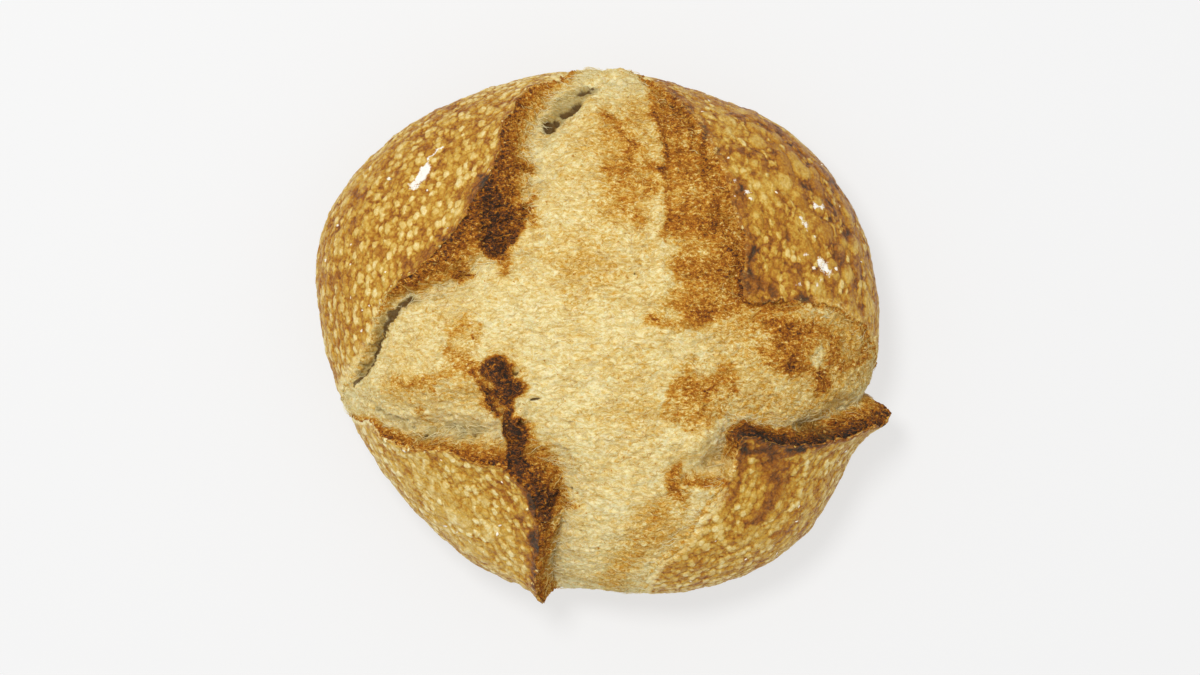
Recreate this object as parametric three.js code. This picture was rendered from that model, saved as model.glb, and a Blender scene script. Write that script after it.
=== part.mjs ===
// A round sourdough loaf, scored with a cross before baking and sprung open into four crust flaps.
// Millimetres, +Z up. The loaf rests on its flat foot at z = 0, centred on the Z axis.
//
// The crust is described on a flat map: a point (x, y) of the map lies hypot(x, y) along the crust from the
// crown, in the direction that it has in plan. The map's rim, FLAT_RADIUS out, is the rim of the foot.
import * as THREE from "three";

// Overall body
const BODY_HEIGHT = 92;
const WIDEST_LEVEL = 34; // height of the widest section above the table
const FOOT_SHARE = 0.78; // radius of the flat foot over the widest radius in the same direction
const CROWN_ROUNDNESS = 2.35; // powers of the oval that falls from the crown to the widest section
const SHOULDER_ROUNDNESS = 2.05;
const UNDERCUT_ROUNDNESS = 2.3; // powers of the oval that turns in from the widest section to the foot
const HEEL_ROUNDNESS = 2.1;
const MEAN_RADIUS = 113;
const FLAT_RADIUS = 187;
// Widest radius at even steps round the loaf, anticlockwise from +X.
const OUTLINE = [
  117.8, 120.2, 118.4, 111.3, 111.1, 112.9, 118.5, 122.0,
  112.8, 105.3, 103.5, 106.1, 104.0, 112.5, 119.4, 115.8,
];

// Where the scoring cuts end, low on the flank.
const CUT_NORTH = [5, 166, 0, 2, 0];
const CUT_WEST = [-158, -46, 0, 2, 0];
const CUT_SOUTH = [-6, -168, 0, 2, 0];
const CUT_EAST = [162, -26, 0, 2, 0];

// The four flaps of crust. A crest is the torn edge of a flap, given by stations
// [x, y, lift above the plain body, width of the torn face below the edge, lean over the crumb].
const FLAPS = [
  {
    outward: 145, // degrees, the direction in which the flap covers the loaf
    crest: [
      CUT_NORTH, [-13.6, 124.7, 1, 5, 0], [-24.8, 113.3, 3, 6, 0], [-32.5, 99.7, 5.5, 8, 0],
      [-37.4, 84.9, 7.5, 10, 0], [-38.5, 68.2, 8.5, 13, 0], [-44.4, 52.7, 10, 15, 0],
      [-52.5, 37.4, 9, 14, 0], [-65.8, 25.8, 7, 8, 0], [-77.3, 19.8, 4, 2.5, 0], [-88.5, 10.2, 2.6, 1.5, 0],
      [-98, -4.3, 2.2, 1.5, 0], [-110, -17, 1.2, 1.5, 0], CUT_WEST,
    ],
  },
  {
    outward: 233,
    crest: [
      CUT_WEST, [-111.1, -38.3, 1, 1.5, 0], [-100, -43.8, 3, 2, 0], [-87, -48, 4, 2.5, 0],
      [-70.3, -49.4, 5, 4.5, 0], [-52.3, -52.9, 6, 8, 0], [-36.3, -56.8, 8, 11, 0], [-27, -65, 9, 12, 0],
      [-23.9, -82.1, 9, 9, 0], [-25.9, -102, 8, 7, 0], [-25.2, -122.2, 9.5, 3, 0], [-22, -131, 1.5, 2, 0],
      [-20, -150, 0.5, 2, 0], CUT_SOUTH,
    ],
  },
  {
    outward: 310,
    crest: [
      CUT_SOUTH, [22, -138, 0.6, 2, 0], [25, -107, 1, 2, 0], [35, -90, 1, 2, 0], [49, -60, 2, 1.5, 0],
      [53, -48, 4, 1.2, 0], [56.2, -36.7, 8, 3.6, 0], [72.7, -40.9, 9, 5, 0], [92, -40.9, 9, 4, 0],
      [111.1, -38.4, 9, 4.8, 0], [134.2, -35.2, 10.5, 7, 0], [148, -33, 3.5, 4, 0], CUT_EAST,
    ],
  },
  {
    outward: 38,
    crest: [
      CUT_EAST, [126, -4, 1, 2, 0], [117, 3, 2, 2, 0], [99, 12, 2, 2, 0], [80, 15, 2.5, 2, 0],
      [58, 16, 3, 2, 0], [57, 29, 2.5, 2, 0], [56, 43, 2.5, 2, 0], [48, 79, 2, 2, 0], [41, 100, 2, 2, 0],
      [27, 121, 1.5, 2, 0], CUT_NORTH,
    ],
  },
];
const CREST_FALL = 11; // a lifted edge sinks back to the body over this distance
const LEAN_FALL = 4;
const CRUMB_SINK = 4; // the crumb sinks this far beside a fully lifted edge
const SINK_FALL = 12;
const SINK_LIFT = 6; // lift at which the crumb beside an edge sinks the whole way

// Ridges and clefts that the crumb tore into as the loaf sprang: the line, height (negative for a cleft)
// and half width.
const RIDGES = [
  { line: [[-41, -14], [-37, -27], [-34, -40], [-33, -54]], height: 6, spread: 5.5 },
  {
    // slit under the lip of the north-west flap
    line: [
      [-73, 15.5], [-79.5, 12.8], [-85, 9], [-88.5, 4.5],
      [-91.5, 0], [-95.5, -7], [-100, -12], [-106, -17],
    ],
    height: -3,
    spread: 2.2,
  },
  { line: [[-95, -21], [-71, -18], [-54, -15], [-42, -15]], height: 4.5, spread: 9 },
  { line: [[26, 114], [27, 65], [25, 39], [26, 5]], height: 1.2, spread: 2.5 },
  { line: [[31, -55], [38, -60], [49, -60]], height: 2.5, spread: 3 },
  { line: [[59, 14], [80, 13], [102, 7], [122, -8]], height: 1.5, spread: 5 },
];

// Swellings and hollows of the crumb: centre, half axes, turn in degrees, height (negative for a hollow).
const LUMPS = [
  { x: 0, y: 5, along: 40, across: 50, turn: 0, height: 3 }, // the open middle of the cross
  { x: 41, y: 50, along: 14, across: 50, turn: 0, height: 2 }, // toasted strip beside the north-east flap
  { x: 82, y: -4, along: 22, across: 18, turn: 0, height: 4 }, // dome in the east arm
  { x: 49, y: -48, along: 9, across: 4.5, turn: 20, height: -5.5 }, // pocket under the south-east corner
  { x: 41, y: -39, along: 10, across: 5, turn: 25, height: 3.5 }, // pillow of crumb over that pocket
  { x: 13, y: 127, along: 8, across: 6, turn: 0, height: 2.5 }, // bulge at the north end of the cut
  { x: 93, y: -36, along: 8, across: 3.5, turn: 0, height: -4 }, // burst bubble
  { x: 107, y: -29, along: 10, across: 5, turn: 10, height: -3 },
  { x: -22, y: 66, along: 4, across: 7, turn: 0, height: -1.8 },
  { x: -30, y: 31, along: 7, across: 6, turn: 0, height: -2.5 },
  { x: -17, y: -87, along: 5, across: 5, turn: 0, height: -2 },
  { x: -15, y: -57, along: 7, across: 13, turn: 15, height: -3 },
  { x: -16, y: 98, along: 13, across: 6, turn: 50, height: -3.5 }, // torn holes under the north edge
  { x: -65, y: -41, along: 30, across: 5, turn: -3, height: -4 }, // groove above the south-west flap
];

// Unevenness
const CRUST_WAVE = 0.45;
const CRUST_WAVE_SIZE = 6.5;
const CRUMB_WAVE = 0.7;
const CRUMB_WAVE_LENGTH = 14; // the crumb is drawn out along X
const CRUMB_WAVE_WIDTH = 8;
const CRUMB_FRAY = 0.35;
const CRUMB_FRAY_LENGTH = 6;
const CRUMB_FRAY_WIDTH = 3.5;

// Relief dies away towards the foot, between these shares of FLAT_RADIUS.
const FADE_FROM = 0.86;
const FADE_TO = 0.96;

// Surface mesh
const FIRST_RINGS = 20;
const SHORTEST_EDGE = 2.2;
const FLATNESS = 0.27; // how far the middle of an edge may lie off the true surface
const REFINE_PASSES = 5;
const SPLIT_MARGIN = 0.28; // a split keeps at least this share of the edge on each side

const CRUST_COLOUR = 0xbf8b45;
const CRUST_ROUGHNESS = 0.72;

function smoothStep(t) {
  const c = THREE.MathUtils.clamp(t, 0, 1);
  return c * c * (3 - 2 * c);
}

function catmull(a, b, c, d, t) {
  const turn = 2 * a - 5 * b + 4 * c - d;
  const twist = 3 * b - a - 3 * c + d;
  return 0.5 * (2 * b + (c - a) * t + turn * t * t + twist * t * t * t);
}

/** Rows of numbers run through by a smooth curve, `steps` samples to each span. */
function smoothRows(rows, steps) {
  const mirror = (end, next) => end.map((value, k) => 2 * value - next[k]);
  const last = rows.length - 1;
  const padded = [mirror(rows[0], rows[1]), ...rows, mirror(rows[last], rows[last - 1])];
  const samples = [];
  for (let i = 1; i <= last; i++) {
    for (let k = 0; k < steps; k++) {
      const [a, b, c, d] = padded.slice(i - 1, i + 3);
      samples.push(b.map((_, n) => catmull(a[n], b[n], c[n], d[n], k / steps)));
    }
  }
  samples.push(rows[last]);
  return samples;
}

/** Widest radius of the body in the direction `angle`. */
function outlineRadius(angle) {
  const count = OUTLINE.length;
  const turns = angle / (2 * Math.PI);
  const at = (turns - Math.floor(turns)) * count;
  const i = Math.floor(at);
  const radius = (k) => OUTLINE[(k + count) % count];
  return catmull(radius(i - 1), radius(i), radius(i + 1), radius(i + 2), at - i);
}

/** Half section of the body as {share of the crust's length, radius over the widest, height}. */
function sectionCurve() {
  const steps = 240;
  const points = [];
  for (let i = 0; i <= steps; i++) {
    const radius = Math.sin((i / steps) * (Math.PI / 2));
    const fall = Math.max(0, 1 - radius ** CROWN_ROUNDNESS) ** (1 / SHOULDER_ROUNDNESS);
    points.push({ radius, height: WIDEST_LEVEL + (BODY_HEIGHT - WIDEST_LEVEL) * fall });
  }
  for (let i = 1; i <= steps; i++) {
    const angle = (i / steps) * (Math.PI / 2);
    const radius = FOOT_SHARE + (1 - FOOT_SHARE) * Math.max(0, Math.cos(angle)) ** (2 / UNDERCUT_ROUNDNESS);
    points.push({ radius, height: WIDEST_LEVEL * (1 - Math.sin(angle) ** (2 / HEEL_ROUNDNESS)) });
  }
  let length = 0;
  points.forEach((p, i) => {
    const before = points[Math.max(i - 1, 0)];
    length += Math.hypot((p.radius - before.radius) * MEAN_RADIUS, p.height - before.height);
    p.share = length;
  });
  points.forEach((p) => {
    p.share /= length;
  });
  points[points.length - 1].radius = FOOT_SHARE;
  points[points.length - 1].height = 0;
  return points;
}

const SECTION = sectionCurve();

function sectionAt(share) {
  let low = 0;
  let high = SECTION.length - 1;
  while (high - low > 1) {
    const middle = (low + high) >> 1;
    if (SECTION[middle].share <= share) low = middle;
    else high = middle;
  }
  const a = SECTION[low];
  const b = SECTION[high];
  const t = THREE.MathUtils.clamp((share - a.share) / (b.share - a.share), 0, 1);
  return {
    radius: THREE.MathUtils.lerp(a.radius, b.radius, t),
    height: THREE.MathUtils.lerp(a.height, b.height, t),
  };
}

/** The plain body, without relief: its point and outward normal for a point of the flat map. */
function bodyAt(x, y) {
  const angle = Math.atan2(y, x);
  const share = Math.min(Math.hypot(x, y) / FLAT_RADIUS, 1);
  const widest = outlineRadius(angle);
  const here = sectionAt(share);
  const step = 0.006;
  const inner = sectionAt(Math.max(share - step, 0));
  const outer = sectionAt(Math.min(share + step, 1));
  const run = (outer.radius - inner.radius) * widest;
  const rise = outer.height - inner.height;
  const scale = 1 / Math.hypot(run, rise);
  const c = Math.cos(angle);
  const s = Math.sin(angle);
  return {
    point: new THREE.Vector3(here.radius * widest * c, here.radius * widest * s, here.height),
    normal: new THREE.Vector3(-rise * scale * c, -rise * scale * s, run * scale),
  };
}

function latticeValue(i, j) {
  const v = Math.sin(i * 127.1 + j * 311.7) * 43758.5453;
  return v - Math.floor(v);
}

/** Smooth unevenness between -1 and 1 with one swing to a unit square. */
function wave(x, y) {
  const i = Math.floor(x);
  const j = Math.floor(y);
  const u = smoothStep(x - i);
  const v = smoothStep(y - j);
  const near = THREE.MathUtils.lerp(latticeValue(i, j), latticeValue(i + 1, j), u);
  const far = THREE.MathUtils.lerp(latticeValue(i, j + 1), latticeValue(i + 1, j + 1), u);
  return 2 * THREE.MathUtils.lerp(near, far, v) - 1;
}

function distanceToLine(x, y, line) {
  let least = Infinity;
  for (let i = 0; i < line.length - 1; i++) {
    const [ax, ay] = line[i];
    const dx = line[i + 1][0] - ax;
    const dy = line[i + 1][1] - ay;
    const t = THREE.MathUtils.clamp(((x - ax) * dx + (y - ay) * dy) / (dx * dx + dy * dy), 0, 1);
    least = Math.min(least, Math.hypot(x - ax - t * dx, y - ay - t * dy));
  }
  return least;
}

function insideLoop(x, y, loop) {
  let inside = false;
  for (let i = 0, j = loop.length - 1; i < loop.length; j = i++) {
    const [ax, ay] = loop[i];
    const [bx, by] = loop[j];
    if (ay > y !== by > y && x < ((bx - ax) * (y - ay)) / (by - ay) + ax) inside = !inside;
  }
  return inside;
}

const SAMPLES_PER_SPAN = 6;

/** A flap ready for measuring: its sampled crest, the crest's normals towards the crumb, and its area. */
function prepareFlap({ outward, crest }) {
  const line = smoothRows(crest, SAMPLES_PER_SPAN);
  const last = line.length - 1;
  const stations = line.map(([x, y, lift, face, lean], i) => {
    const before = line[Math.max(i - 1, 0)];
    const after = line[Math.min(i + 1, last)];
    const length = Math.hypot(after[0] - before[0], after[1] - before[1]);
    const normal = [(before[1] - after[1]) / length, (after[0] - before[0]) / length];
    return { x, y, lift, face, leanX: lean * normal[0], leanY: lean * normal[1] };
  });
  const angle = THREE.MathUtils.degToRad(outward);
  const away = 4 * FLAT_RADIUS;
  const beyond = ([x, y]) => [4 * x, 4 * y];
  const corner = [away * Math.cos(angle), away * Math.sin(angle)];
  const area = [...line, beyond(line[last]), corner, beyond(line[0])];
  return { line, stations, area };
}

const PREPARED_FLAPS = FLAPS.map(prepareFlap);
const PREPARED_RIDGES = RIDGES.map((ridge) => ({
  ...ridge,
  line: smoothRows(ridge.line, SAMPLES_PER_SPAN),
}));

/** Crest values near (x, y): every station counts, the nearest by far the most. */
function blendStations(x, y, stations) {
  const sum = { lift: 0, face: 0, leanX: 0, leanY: 0 };
  let total = 0;
  for (const station of stations) {
    const weight = ((x - station.x) ** 2 + (y - station.y) ** 2 + 1) ** -2.5;
    total += weight;
    for (const key in sum) sum[key] += weight * station[key];
  }
  for (const key in sum) sum[key] /= total;
  return sum;
}

/** Distance to the nearest crest, positive on crust, with that crest's values and the crumb's sink. */
function crestAt(x, y) {
  let best = { edge: -Infinity };
  let sink = 0;
  for (const { line, stations, area } of PREPARED_FLAPS) {
    const distance = distanceToLine(x, y, line);
    const edge = insideLoop(x, y, area) ? distance : -distance;
    const values = blendStations(x, y, stations);
    const closeness = Math.exp(-Math.max(-edge - values.face, 0) / SINK_FALL);
    sink -= CRUMB_SINK * closeness * smoothStep(values.lift / SINK_LIFT);
    if (edge > best.edge) best = { edge, ...values };
  }
  return { ...best, sink };
}

function lumpHeight(x, y, lump) {
  const angle = THREE.MathUtils.degToRad(lump.turn);
  const c = Math.cos(angle);
  const s = Math.sin(angle);
  const u = ((x - lump.x) * c + (y - lump.y) * s) / lump.along;
  const v = (-(x - lump.x) * s + (y - lump.y) * c) / lump.across;
  return lump.height * Math.exp(-u * u - v * v);
}

function crumbHeight(x, y) {
  let height = CRUMB_WAVE * wave(x / CRUMB_WAVE_LENGTH + 3.3, y / CRUMB_WAVE_WIDTH + 1.7);
  height += CRUMB_FRAY * wave(x / CRUMB_FRAY_LENGTH, y / CRUMB_FRAY_WIDTH);
  for (const { line, height: top, spread } of PREPARED_RIDGES) {
    height += top * Math.exp(-((distanceToLine(x, y, line) / spread) ** 2));
  }
  for (const lump of LUMPS) height += lumpHeight(x, y, lump);
  return height;
}

/** The finished surface over a point of the flat map. */
function surfaceAt(x, y) {
  const { edge, lift, face, leanX, leanY, sink } = crestAt(x, y);
  const onCrust = Math.max(edge, 0);
  const crust =
    lift * Math.exp(-onCrust / CREST_FALL) +
    CRUST_WAVE * wave(x / CRUST_WAVE_SIZE, y / CRUST_WAVE_SIZE) * smoothStep(edge / CRUST_WAVE_SIZE);
  const crumb = crumbHeight(x, y) + sink;
  const crustShare = smoothStep(1 + edge / Math.max(face, 0.5));
  const share = Math.hypot(x, y) / FLAT_RADIUS;
  const fade = 1 - smoothStep((share - FADE_FROM) / (FADE_TO - FADE_FROM));
  const leanShare = edge > 0 ? Math.exp(-onCrust / LEAN_FALL) : smoothStep(1 + edge / Math.max(face, 1));
  const lean = fade * leanShare;
  const { point, normal } = bodyAt(x + leanX * lean, y + leanY * lean);
  return point.addScaledVector(normal, fade * THREE.MathUtils.lerp(crumb, crust, crustShare));
}

/** One corner of the surface mesh: its place on the flat map, distance to a crest and point in space. */
function makeCorner(x, y, onRim) {
  const reach = onRim ? FLAT_RADIUS / Math.hypot(x, y) : 1;
  const mapX = x * reach;
  const mapY = y * reach;
  return { x: mapX, y: mapY, onRim, edge: crestAt(mapX, mapY).edge, point: surfaceAt(mapX, mapY) };
}

/** The flat map as even triangles: rings about the crown, each with six corners more than the last. */
function firstTriangles(rings) {
  const corners = [makeCorner(0, 0, false)];
  const starts = [0];
  for (let ring = 1; ring <= rings; ring++) {
    starts.push(corners.length);
    const radius = (FLAT_RADIUS * ring) / rings;
    for (let k = 0; k < 6 * ring; k++) {
      const angle = (k / (6 * ring)) * 2 * Math.PI;
      corners.push(makeCorner(radius * Math.cos(angle), radius * Math.sin(angle), ring === rings));
    }
  }
  const index = (ring, k) => (ring === 0 ? 0 : starts[ring] + (k % (6 * ring)));
  const triangles = [];
  for (let ring = 1; ring <= rings; ring++) {
    for (let side = 0; side < 6; side++) {
      for (let k = 0; k < ring; k++) {
        const outer = side * ring + k;
        const inner = side * (ring - 1) + k;
        triangles.push([index(ring, outer), index(ring, outer + 1), index(ring - 1, inner)]);
        if (k < ring - 1) {
          triangles.push([index(ring, outer + 1), index(ring - 1, inner + 1), index(ring - 1, inner)]);
        }
      }
    }
  }
  return { corners, triangles };
}

const edgeKey = (a, b) => (a < b ? `${a} ${b}` : `${b} ${a}`);

/** The corner that an edge gains when it is split: on the crest where the edge crosses one. */
function splitCorner(a, b) {
  const crossing = a.edge * b.edge < 0 ? a.edge / (a.edge - b.edge) : 0.5;
  const onRim = a.onRim && b.onRim;
  const t = onRim ? 0.5 : THREE.MathUtils.clamp(crossing, SPLIT_MARGIN, 1 - SPLIT_MARGIN);
  return makeCorner(THREE.MathUtils.lerp(a.x, b.x, t), THREE.MathUtils.lerp(a.y, b.y, t), onRim);
}

/** Splits edges whose middles stray from the surface, and the longest edge of each triangle so touched. */
function refine({ corners, triangles }) {
  const length = (a, b) => corners[a].point.distanceTo(corners[b].point);
  const sides = ([a, b, c]) => [[a, b], [b, c], [c, a]];
  const tested = new Map();
  for (const triangle of triangles) {
    for (const [a, b] of sides(triangle)) {
      const key = edgeKey(a, b);
      if (tested.has(key)) continue;
      let split = null;
      if (length(a, b) > 2 * SHORTEST_EDGE) {
        const corner = splitCorner(corners[a], corners[b]);
        const chord = new THREE.Line3(corners[a].point, corners[b].point);
        const onChord = chord.closestPointToPoint(corner.point, true, new THREE.Vector3());
        if (onChord.distanceTo(corner.point) > FLATNESS) split = corner;
      }
      tested.set(key, split);
    }
  }
  let growing = true;
  while (growing) {
    growing = false;
    for (const triangle of triangles) {
      const edges = sides(triangle);
      if (!edges.some(([a, b]) => tested.get(edgeKey(a, b)))) continue;
      const [a, b] = edges.reduce((p, q) => (length(...p) >= length(...q) ? p : q));
      if (tested.get(edgeKey(a, b))) continue;
      tested.set(edgeKey(a, b), splitCorner(corners[a], corners[b]));
      growing = true;
    }
  }
  const numbers = new Map();
  const numberOf = (a, b) => {
    const key = edgeKey(a, b);
    if (!tested.get(key)) return -1;
    if (!numbers.has(key)) {
      numbers.set(key, corners.length);
      corners.push(tested.get(key));
    }
    return numbers.get(key);
  };
  const next = [];
  for (const [a, b, c] of triangles) {
    const middles = [numberOf(a, b), numberOf(b, c), numberOf(c, a)];
    const count = middles.filter((m) => m >= 0).length;
    if (count === 0) {
      next.push([a, b, c]);
    } else if (count === 3) {
      const [ab, bc, ca] = middles;
      next.push([a, ab, ca], [ab, b, bc], [ca, bc, c], [ab, bc, ca]);
    } else {
      // Turned so that the first edge is split, and with two split edges the third is whole.
      let turn = 0;
      while (middles[turn] < 0 || (count === 2 && middles[(turn + 1) % 3] < 0)) turn++;
      const ring = [a, b, c];
      const [p, q, r] = [ring[turn % 3], ring[(turn + 1) % 3], ring[(turn + 2) % 3]];
      const pq = middles[turn % 3];
      if (count === 1) {
        next.push([p, pq, r], [pq, q, r]);
      } else {
        const qr = middles[(turn + 1) % 3];
        next.push([pq, q, qr], [p, pq, qr], [p, qr, r]);
      }
    }
  }
  return { corners, triangles: next };
}

/** Closes the crust with the flat foot: a fan of triangles about the middle of the base. */
function addFoot({ corners, triangles }) {
  const rim = corners.map((corner, i) => ({ ...corner, i })).filter((corner) => corner.onRim);
  rim.sort((a, b) => Math.atan2(a.y, a.x) - Math.atan2(b.y, b.x));
  const middle = corners.length;
  corners.push({ point: new THREE.Vector3(0, 0, 0) });
  rim.forEach((corner, k) => {
    triangles.push([rim[(k + 1) % rim.length].i, corner.i, middle]);
  });
}

function loafGeometry() {
  let mesh = firstTriangles(FIRST_RINGS);
  for (let pass = 0; pass < REFINE_PASSES; pass++) mesh = refine(mesh);
  addFoot(mesh);
  const geometry = new THREE.BufferGeometry();
  geometry.setFromPoints(mesh.corners.map((corner) => corner.point));
  geometry.setIndex(mesh.triangles.flat());
  geometry.computeBoundingBox();
  const middle = geometry.boundingBox.getCenter(new THREE.Vector3());
  geometry.translate(-middle.x, -middle.y, 0);
  geometry.computeVertexNormals();
  return geometry;
}

const loaf = new THREE.Mesh(
  loafGeometry(),
  new THREE.MeshStandardMaterial({ color: CRUST_COLOUR, roughness: CRUST_ROUGHNESS, metalness: 0 }),
);
loaf.name = "loaf";

const part = new THREE.Group();
part.name = "sourdough_loaf";
part.add(loaf);

export default part;
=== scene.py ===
"""A round sourdough loaf, cross-scored and sprung open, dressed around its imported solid.

The crust is described on a flat map in millimetres: a point (x, y) of the map lies hypot(x, y) along the
crust from the crown, in the direction that it has in plan. Every object is in metres, +Z up.
"""
import math

import bmesh
import bpy
import numpy as np
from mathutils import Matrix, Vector


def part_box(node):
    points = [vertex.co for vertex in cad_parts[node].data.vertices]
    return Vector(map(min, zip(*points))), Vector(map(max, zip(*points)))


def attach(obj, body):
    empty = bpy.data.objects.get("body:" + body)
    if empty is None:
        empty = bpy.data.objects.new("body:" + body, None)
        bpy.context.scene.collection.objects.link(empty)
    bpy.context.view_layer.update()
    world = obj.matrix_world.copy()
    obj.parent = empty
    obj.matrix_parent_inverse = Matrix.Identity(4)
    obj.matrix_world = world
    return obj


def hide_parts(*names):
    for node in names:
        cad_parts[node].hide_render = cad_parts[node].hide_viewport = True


bl_info = {
    "name": "Cross-scored sourdough loaf",
    "version": (1, 0, 0),
    "blender": (4, 5, 0),
    "location": "3D View > Sidebar > Loaf",
    "description": "Bakes a round loaf: blistered crust, torn crumb, gluten strands, flakes and flour",
    "category": "Object",
}

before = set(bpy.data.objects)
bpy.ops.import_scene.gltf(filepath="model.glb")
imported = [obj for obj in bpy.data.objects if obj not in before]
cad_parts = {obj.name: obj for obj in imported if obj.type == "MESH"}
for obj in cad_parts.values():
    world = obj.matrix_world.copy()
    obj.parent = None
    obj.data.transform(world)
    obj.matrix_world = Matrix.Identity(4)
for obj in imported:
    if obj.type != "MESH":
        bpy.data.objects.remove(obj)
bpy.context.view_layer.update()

MM = 0.001
NODE = "loaf"
BODY = "root"

# ---- the plain body, in millimetres --------------------------------------------------------------
BODY_HEIGHT = 92.0
WIDEST_LEVEL = 34.0
FOOT_SHARE = 0.78
CROWN_ROUNDNESS = 2.35
SHOULDER_ROUNDNESS = 2.05
UNDERCUT_ROUNDNESS = 2.3
HEEL_ROUNDNESS = 2.1
MEAN_RADIUS = 113.0
FLAT_RADIUS = 187.0
# Widest radius at even steps round the loaf, anticlockwise from +X.
OUTLINE = np.array([117.8, 120.2, 118.4, 111.3, 111.1, 112.9, 118.5, 122.0,
                    112.8, 105.3, 103.5, 106.1, 104.0, 112.5, 119.4, 115.8])

# ---- the four flaps ------------------------------------------------------------------------------
# Stations of each torn edge: x, y, lift, face width, lean over the crumb, browning.
CUT_NORTH = (5, 166, 0, 2, 0, 0.2)
CUT_WEST = (-158, -46, 0, 2, 0, 0.2)
CUT_SOUTH = (-6, -168, 0, 2, 0, 0.2)
CUT_EAST = (162, -26, 0, 2, 0, 0.2)
FLAP_STATIONS = {
    "north_west": (145, [
        CUT_NORTH, (-13.6, 124.7, 1, 5, 0, 0.30), (-24.8, 113.3, 3, 6, 0, 0.44),
        (-32.5, 99.7, 5.5, 8, 0, 0.54), (-37.4, 84.9, 7.5, 10, 0, 0.58), (-38.5, 68.2, 8.5, 13, 0, 0.62),
        (-44.4, 52.7, 10, 15, 0, 0.64), (-52.5, 37.4, 9, 14, 0, 0.58), (-65.8, 25.8, 7, 8, 0, 0.60),
        (-77.3, 19.8, 4, 2.5, 0, 0.44), (-88.5, 10.2, 2.6, 1.5, 0, 0.20), (-98, -4.3, 2.2, 1.5, 0, 0.16),
        (-110, -17, 1.2, 1.5, 0, 0.12), CUT_WEST]),
    "south_west": (233, [
        CUT_WEST, (-111.1, -38.3, 1, 1.5, 0, 0.36), (-100, -43.8, 3, 2, 0, 0.50),
        (-87, -48, 4, 2.5, 0, 0.50), (-70.3, -49.4, 5, 4.5, 0, 0.46), (-52.3, -52.9, 6, 8, 0, 0.50),
        (-36.3, -56.8, 8, 11, 0, 0.68), (-27, -65, 9, 12, 0, 0.56), (-23.9, -82.1, 9, 9, 0, 0.52),
        (-25.9, -102, 8, 7, 0, 0.44), (-25.2, -122.2, 9.5, 3, 0, 0.50), (-22, -131, 1.5, 2, 0, 0.40),
        (-20, -150, 0.5, 2, 0, 0.30), CUT_SOUTH]),
    "south_east": (310, [
        CUT_SOUTH, (22, -138, 0.6, 2, 0, 0.10), (25, -107, 1, 2, 0, 0.12), (35, -90, 1, 2, 0, 0.16),
        (49, -60, 2, 1.5, 0, 0.22), (53, -48, 4, 1.2, 0, 0.14), (56.2, -36.7, 8, 3.6, 0, 0.92),
        (72.7, -40.9, 9, 5.0, 0, 0.92), (92, -40.9, 9, 4.0, 0, 0.92), (111.1, -38.4, 9, 4.8, 0, 0.82),
        (134.2, -35.2, 10.5, 7, 0, 0.62), (148, -33, 3.5, 4, 0, 0.30), CUT_EAST]),
    "north_east": (38, [
        CUT_EAST, (126, -4, 1, 2, 0, 0.30), (117, 3, 2, 2, 0, 0.40), (99, 12, 2, 2, 0, 0.40),
        (80, 15, 2.5, 2, 0, 0.50), (58, 16, 3, 2, 0, 0.66), (57, 29, 2.5, 2, 0, 0.62),
        (56, 43, 2.5, 2, 0, 0.50), (48, 79, 2, 2, 0, 0.42), (41, 100, 2, 2, 0, 0.38),
        (27, 121, 1.5, 2, 0, 0.40), CUT_NORTH]),
}
# How far a torn face's browning runs on over the crust, and how much of it.
EDGE_SCORCH, LIP_SCORCH = 1.3, 0.5
CREST_FALL = 11.0
LEAN_FALL = 4.0
CRUMB_SINK = 4.0
SINK_FALL = 12.0
SINK_LIFT = 6.0
SECTION_STEPS = 241
LEAST_FACE = 0.5
# The ragged wander of a torn edge: share of the tear, size in millimetres, shift of the unevenness.
TEAR_WANDERS = ((1.0, 5.0, 0.0), (0.5, 1.9, 2.2), (0.22, 0.9, 7.9))

# ---- how the crust lies on the crumb -------------------------------------------------------------
CRUST_THICKNESS = 0.9
LIP_DEPTHS = (0.5, 1.2)
LIP_CURL, LIP_CURL_REACH, LIP_CURL_SIZE = 0.35, 1.2, 5.3
FULL_LIP = 4.0  # an edge with this much lift has a full lip; one with none lies flush
FLUSH_REACH = 2.0
RAISED_FROM, RAISED_OVER = 0.8, 3.0  # the lift from which, and over which, an edge counts as raised
RIM_REACH = 2.2
PALE_LIP_REACH, PALE_LIP_BROWNING = 1.1, 0.4  # a lip browned less than this shows the colour of crumb
UNDER_CRUST_GAP = 1.6
CRUMB_LIP = (2.0,)
LOW_EDGE_BLEND = 5.0  # crust that lies flush with the crumb turns into it over this distance
OVERHANG = 0.3  # the lip stands out over the torn face by this much
TUCK = 3.0  # the crumb piece reaches this far under the crust
CRUMB_LEAN = 0.3  # the crumb follows only this share of the lean of a lip
SHEET_END = 0.985 * FLAT_RADIUS
WEDGE_REACH, WEDGE_LEVEL = 45.0, 22.0  # where a flap's walls run together inside the loaf
HEART_SINK = 15.0
WALL_STEP, WALL_END = 0.22, 24  # share of the way that each ring of wall goes, and corners of the last ring
SNAP_SHARE, LEAST_SLOPE = 0.55, 0.3  # corners this near the cut, in cells, move onto it

# Ridges of the crumb: line of the top, height, half width.
RIDGES = [
    ([(-41, -14), (-37, -27), (-34, -40), (-33, -54)], 6.0, 5.5),
    ([(-73, 15.5), (-79.5, 12.8), (-85, 9), (-88.5, 4.5), (-91.5, 0), (-95.5, -7), (-100, -12),
      (-106, -17)], -3.0, 2.2), ([(-95, -21), (-71, -18), (-54, -15), (-42, -15)], 4.5, 9.0),
    ([(26, 114), (27, 65), (25, 39), (26, 5)], 1.2, 2.5), ([(31, -55), (38, -60), (49, -60)], 2.5, 3.0),
    ([(59, 14), (80, 13), (102, 7), (122, -8)], 1.5, 5.0),
]
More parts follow.
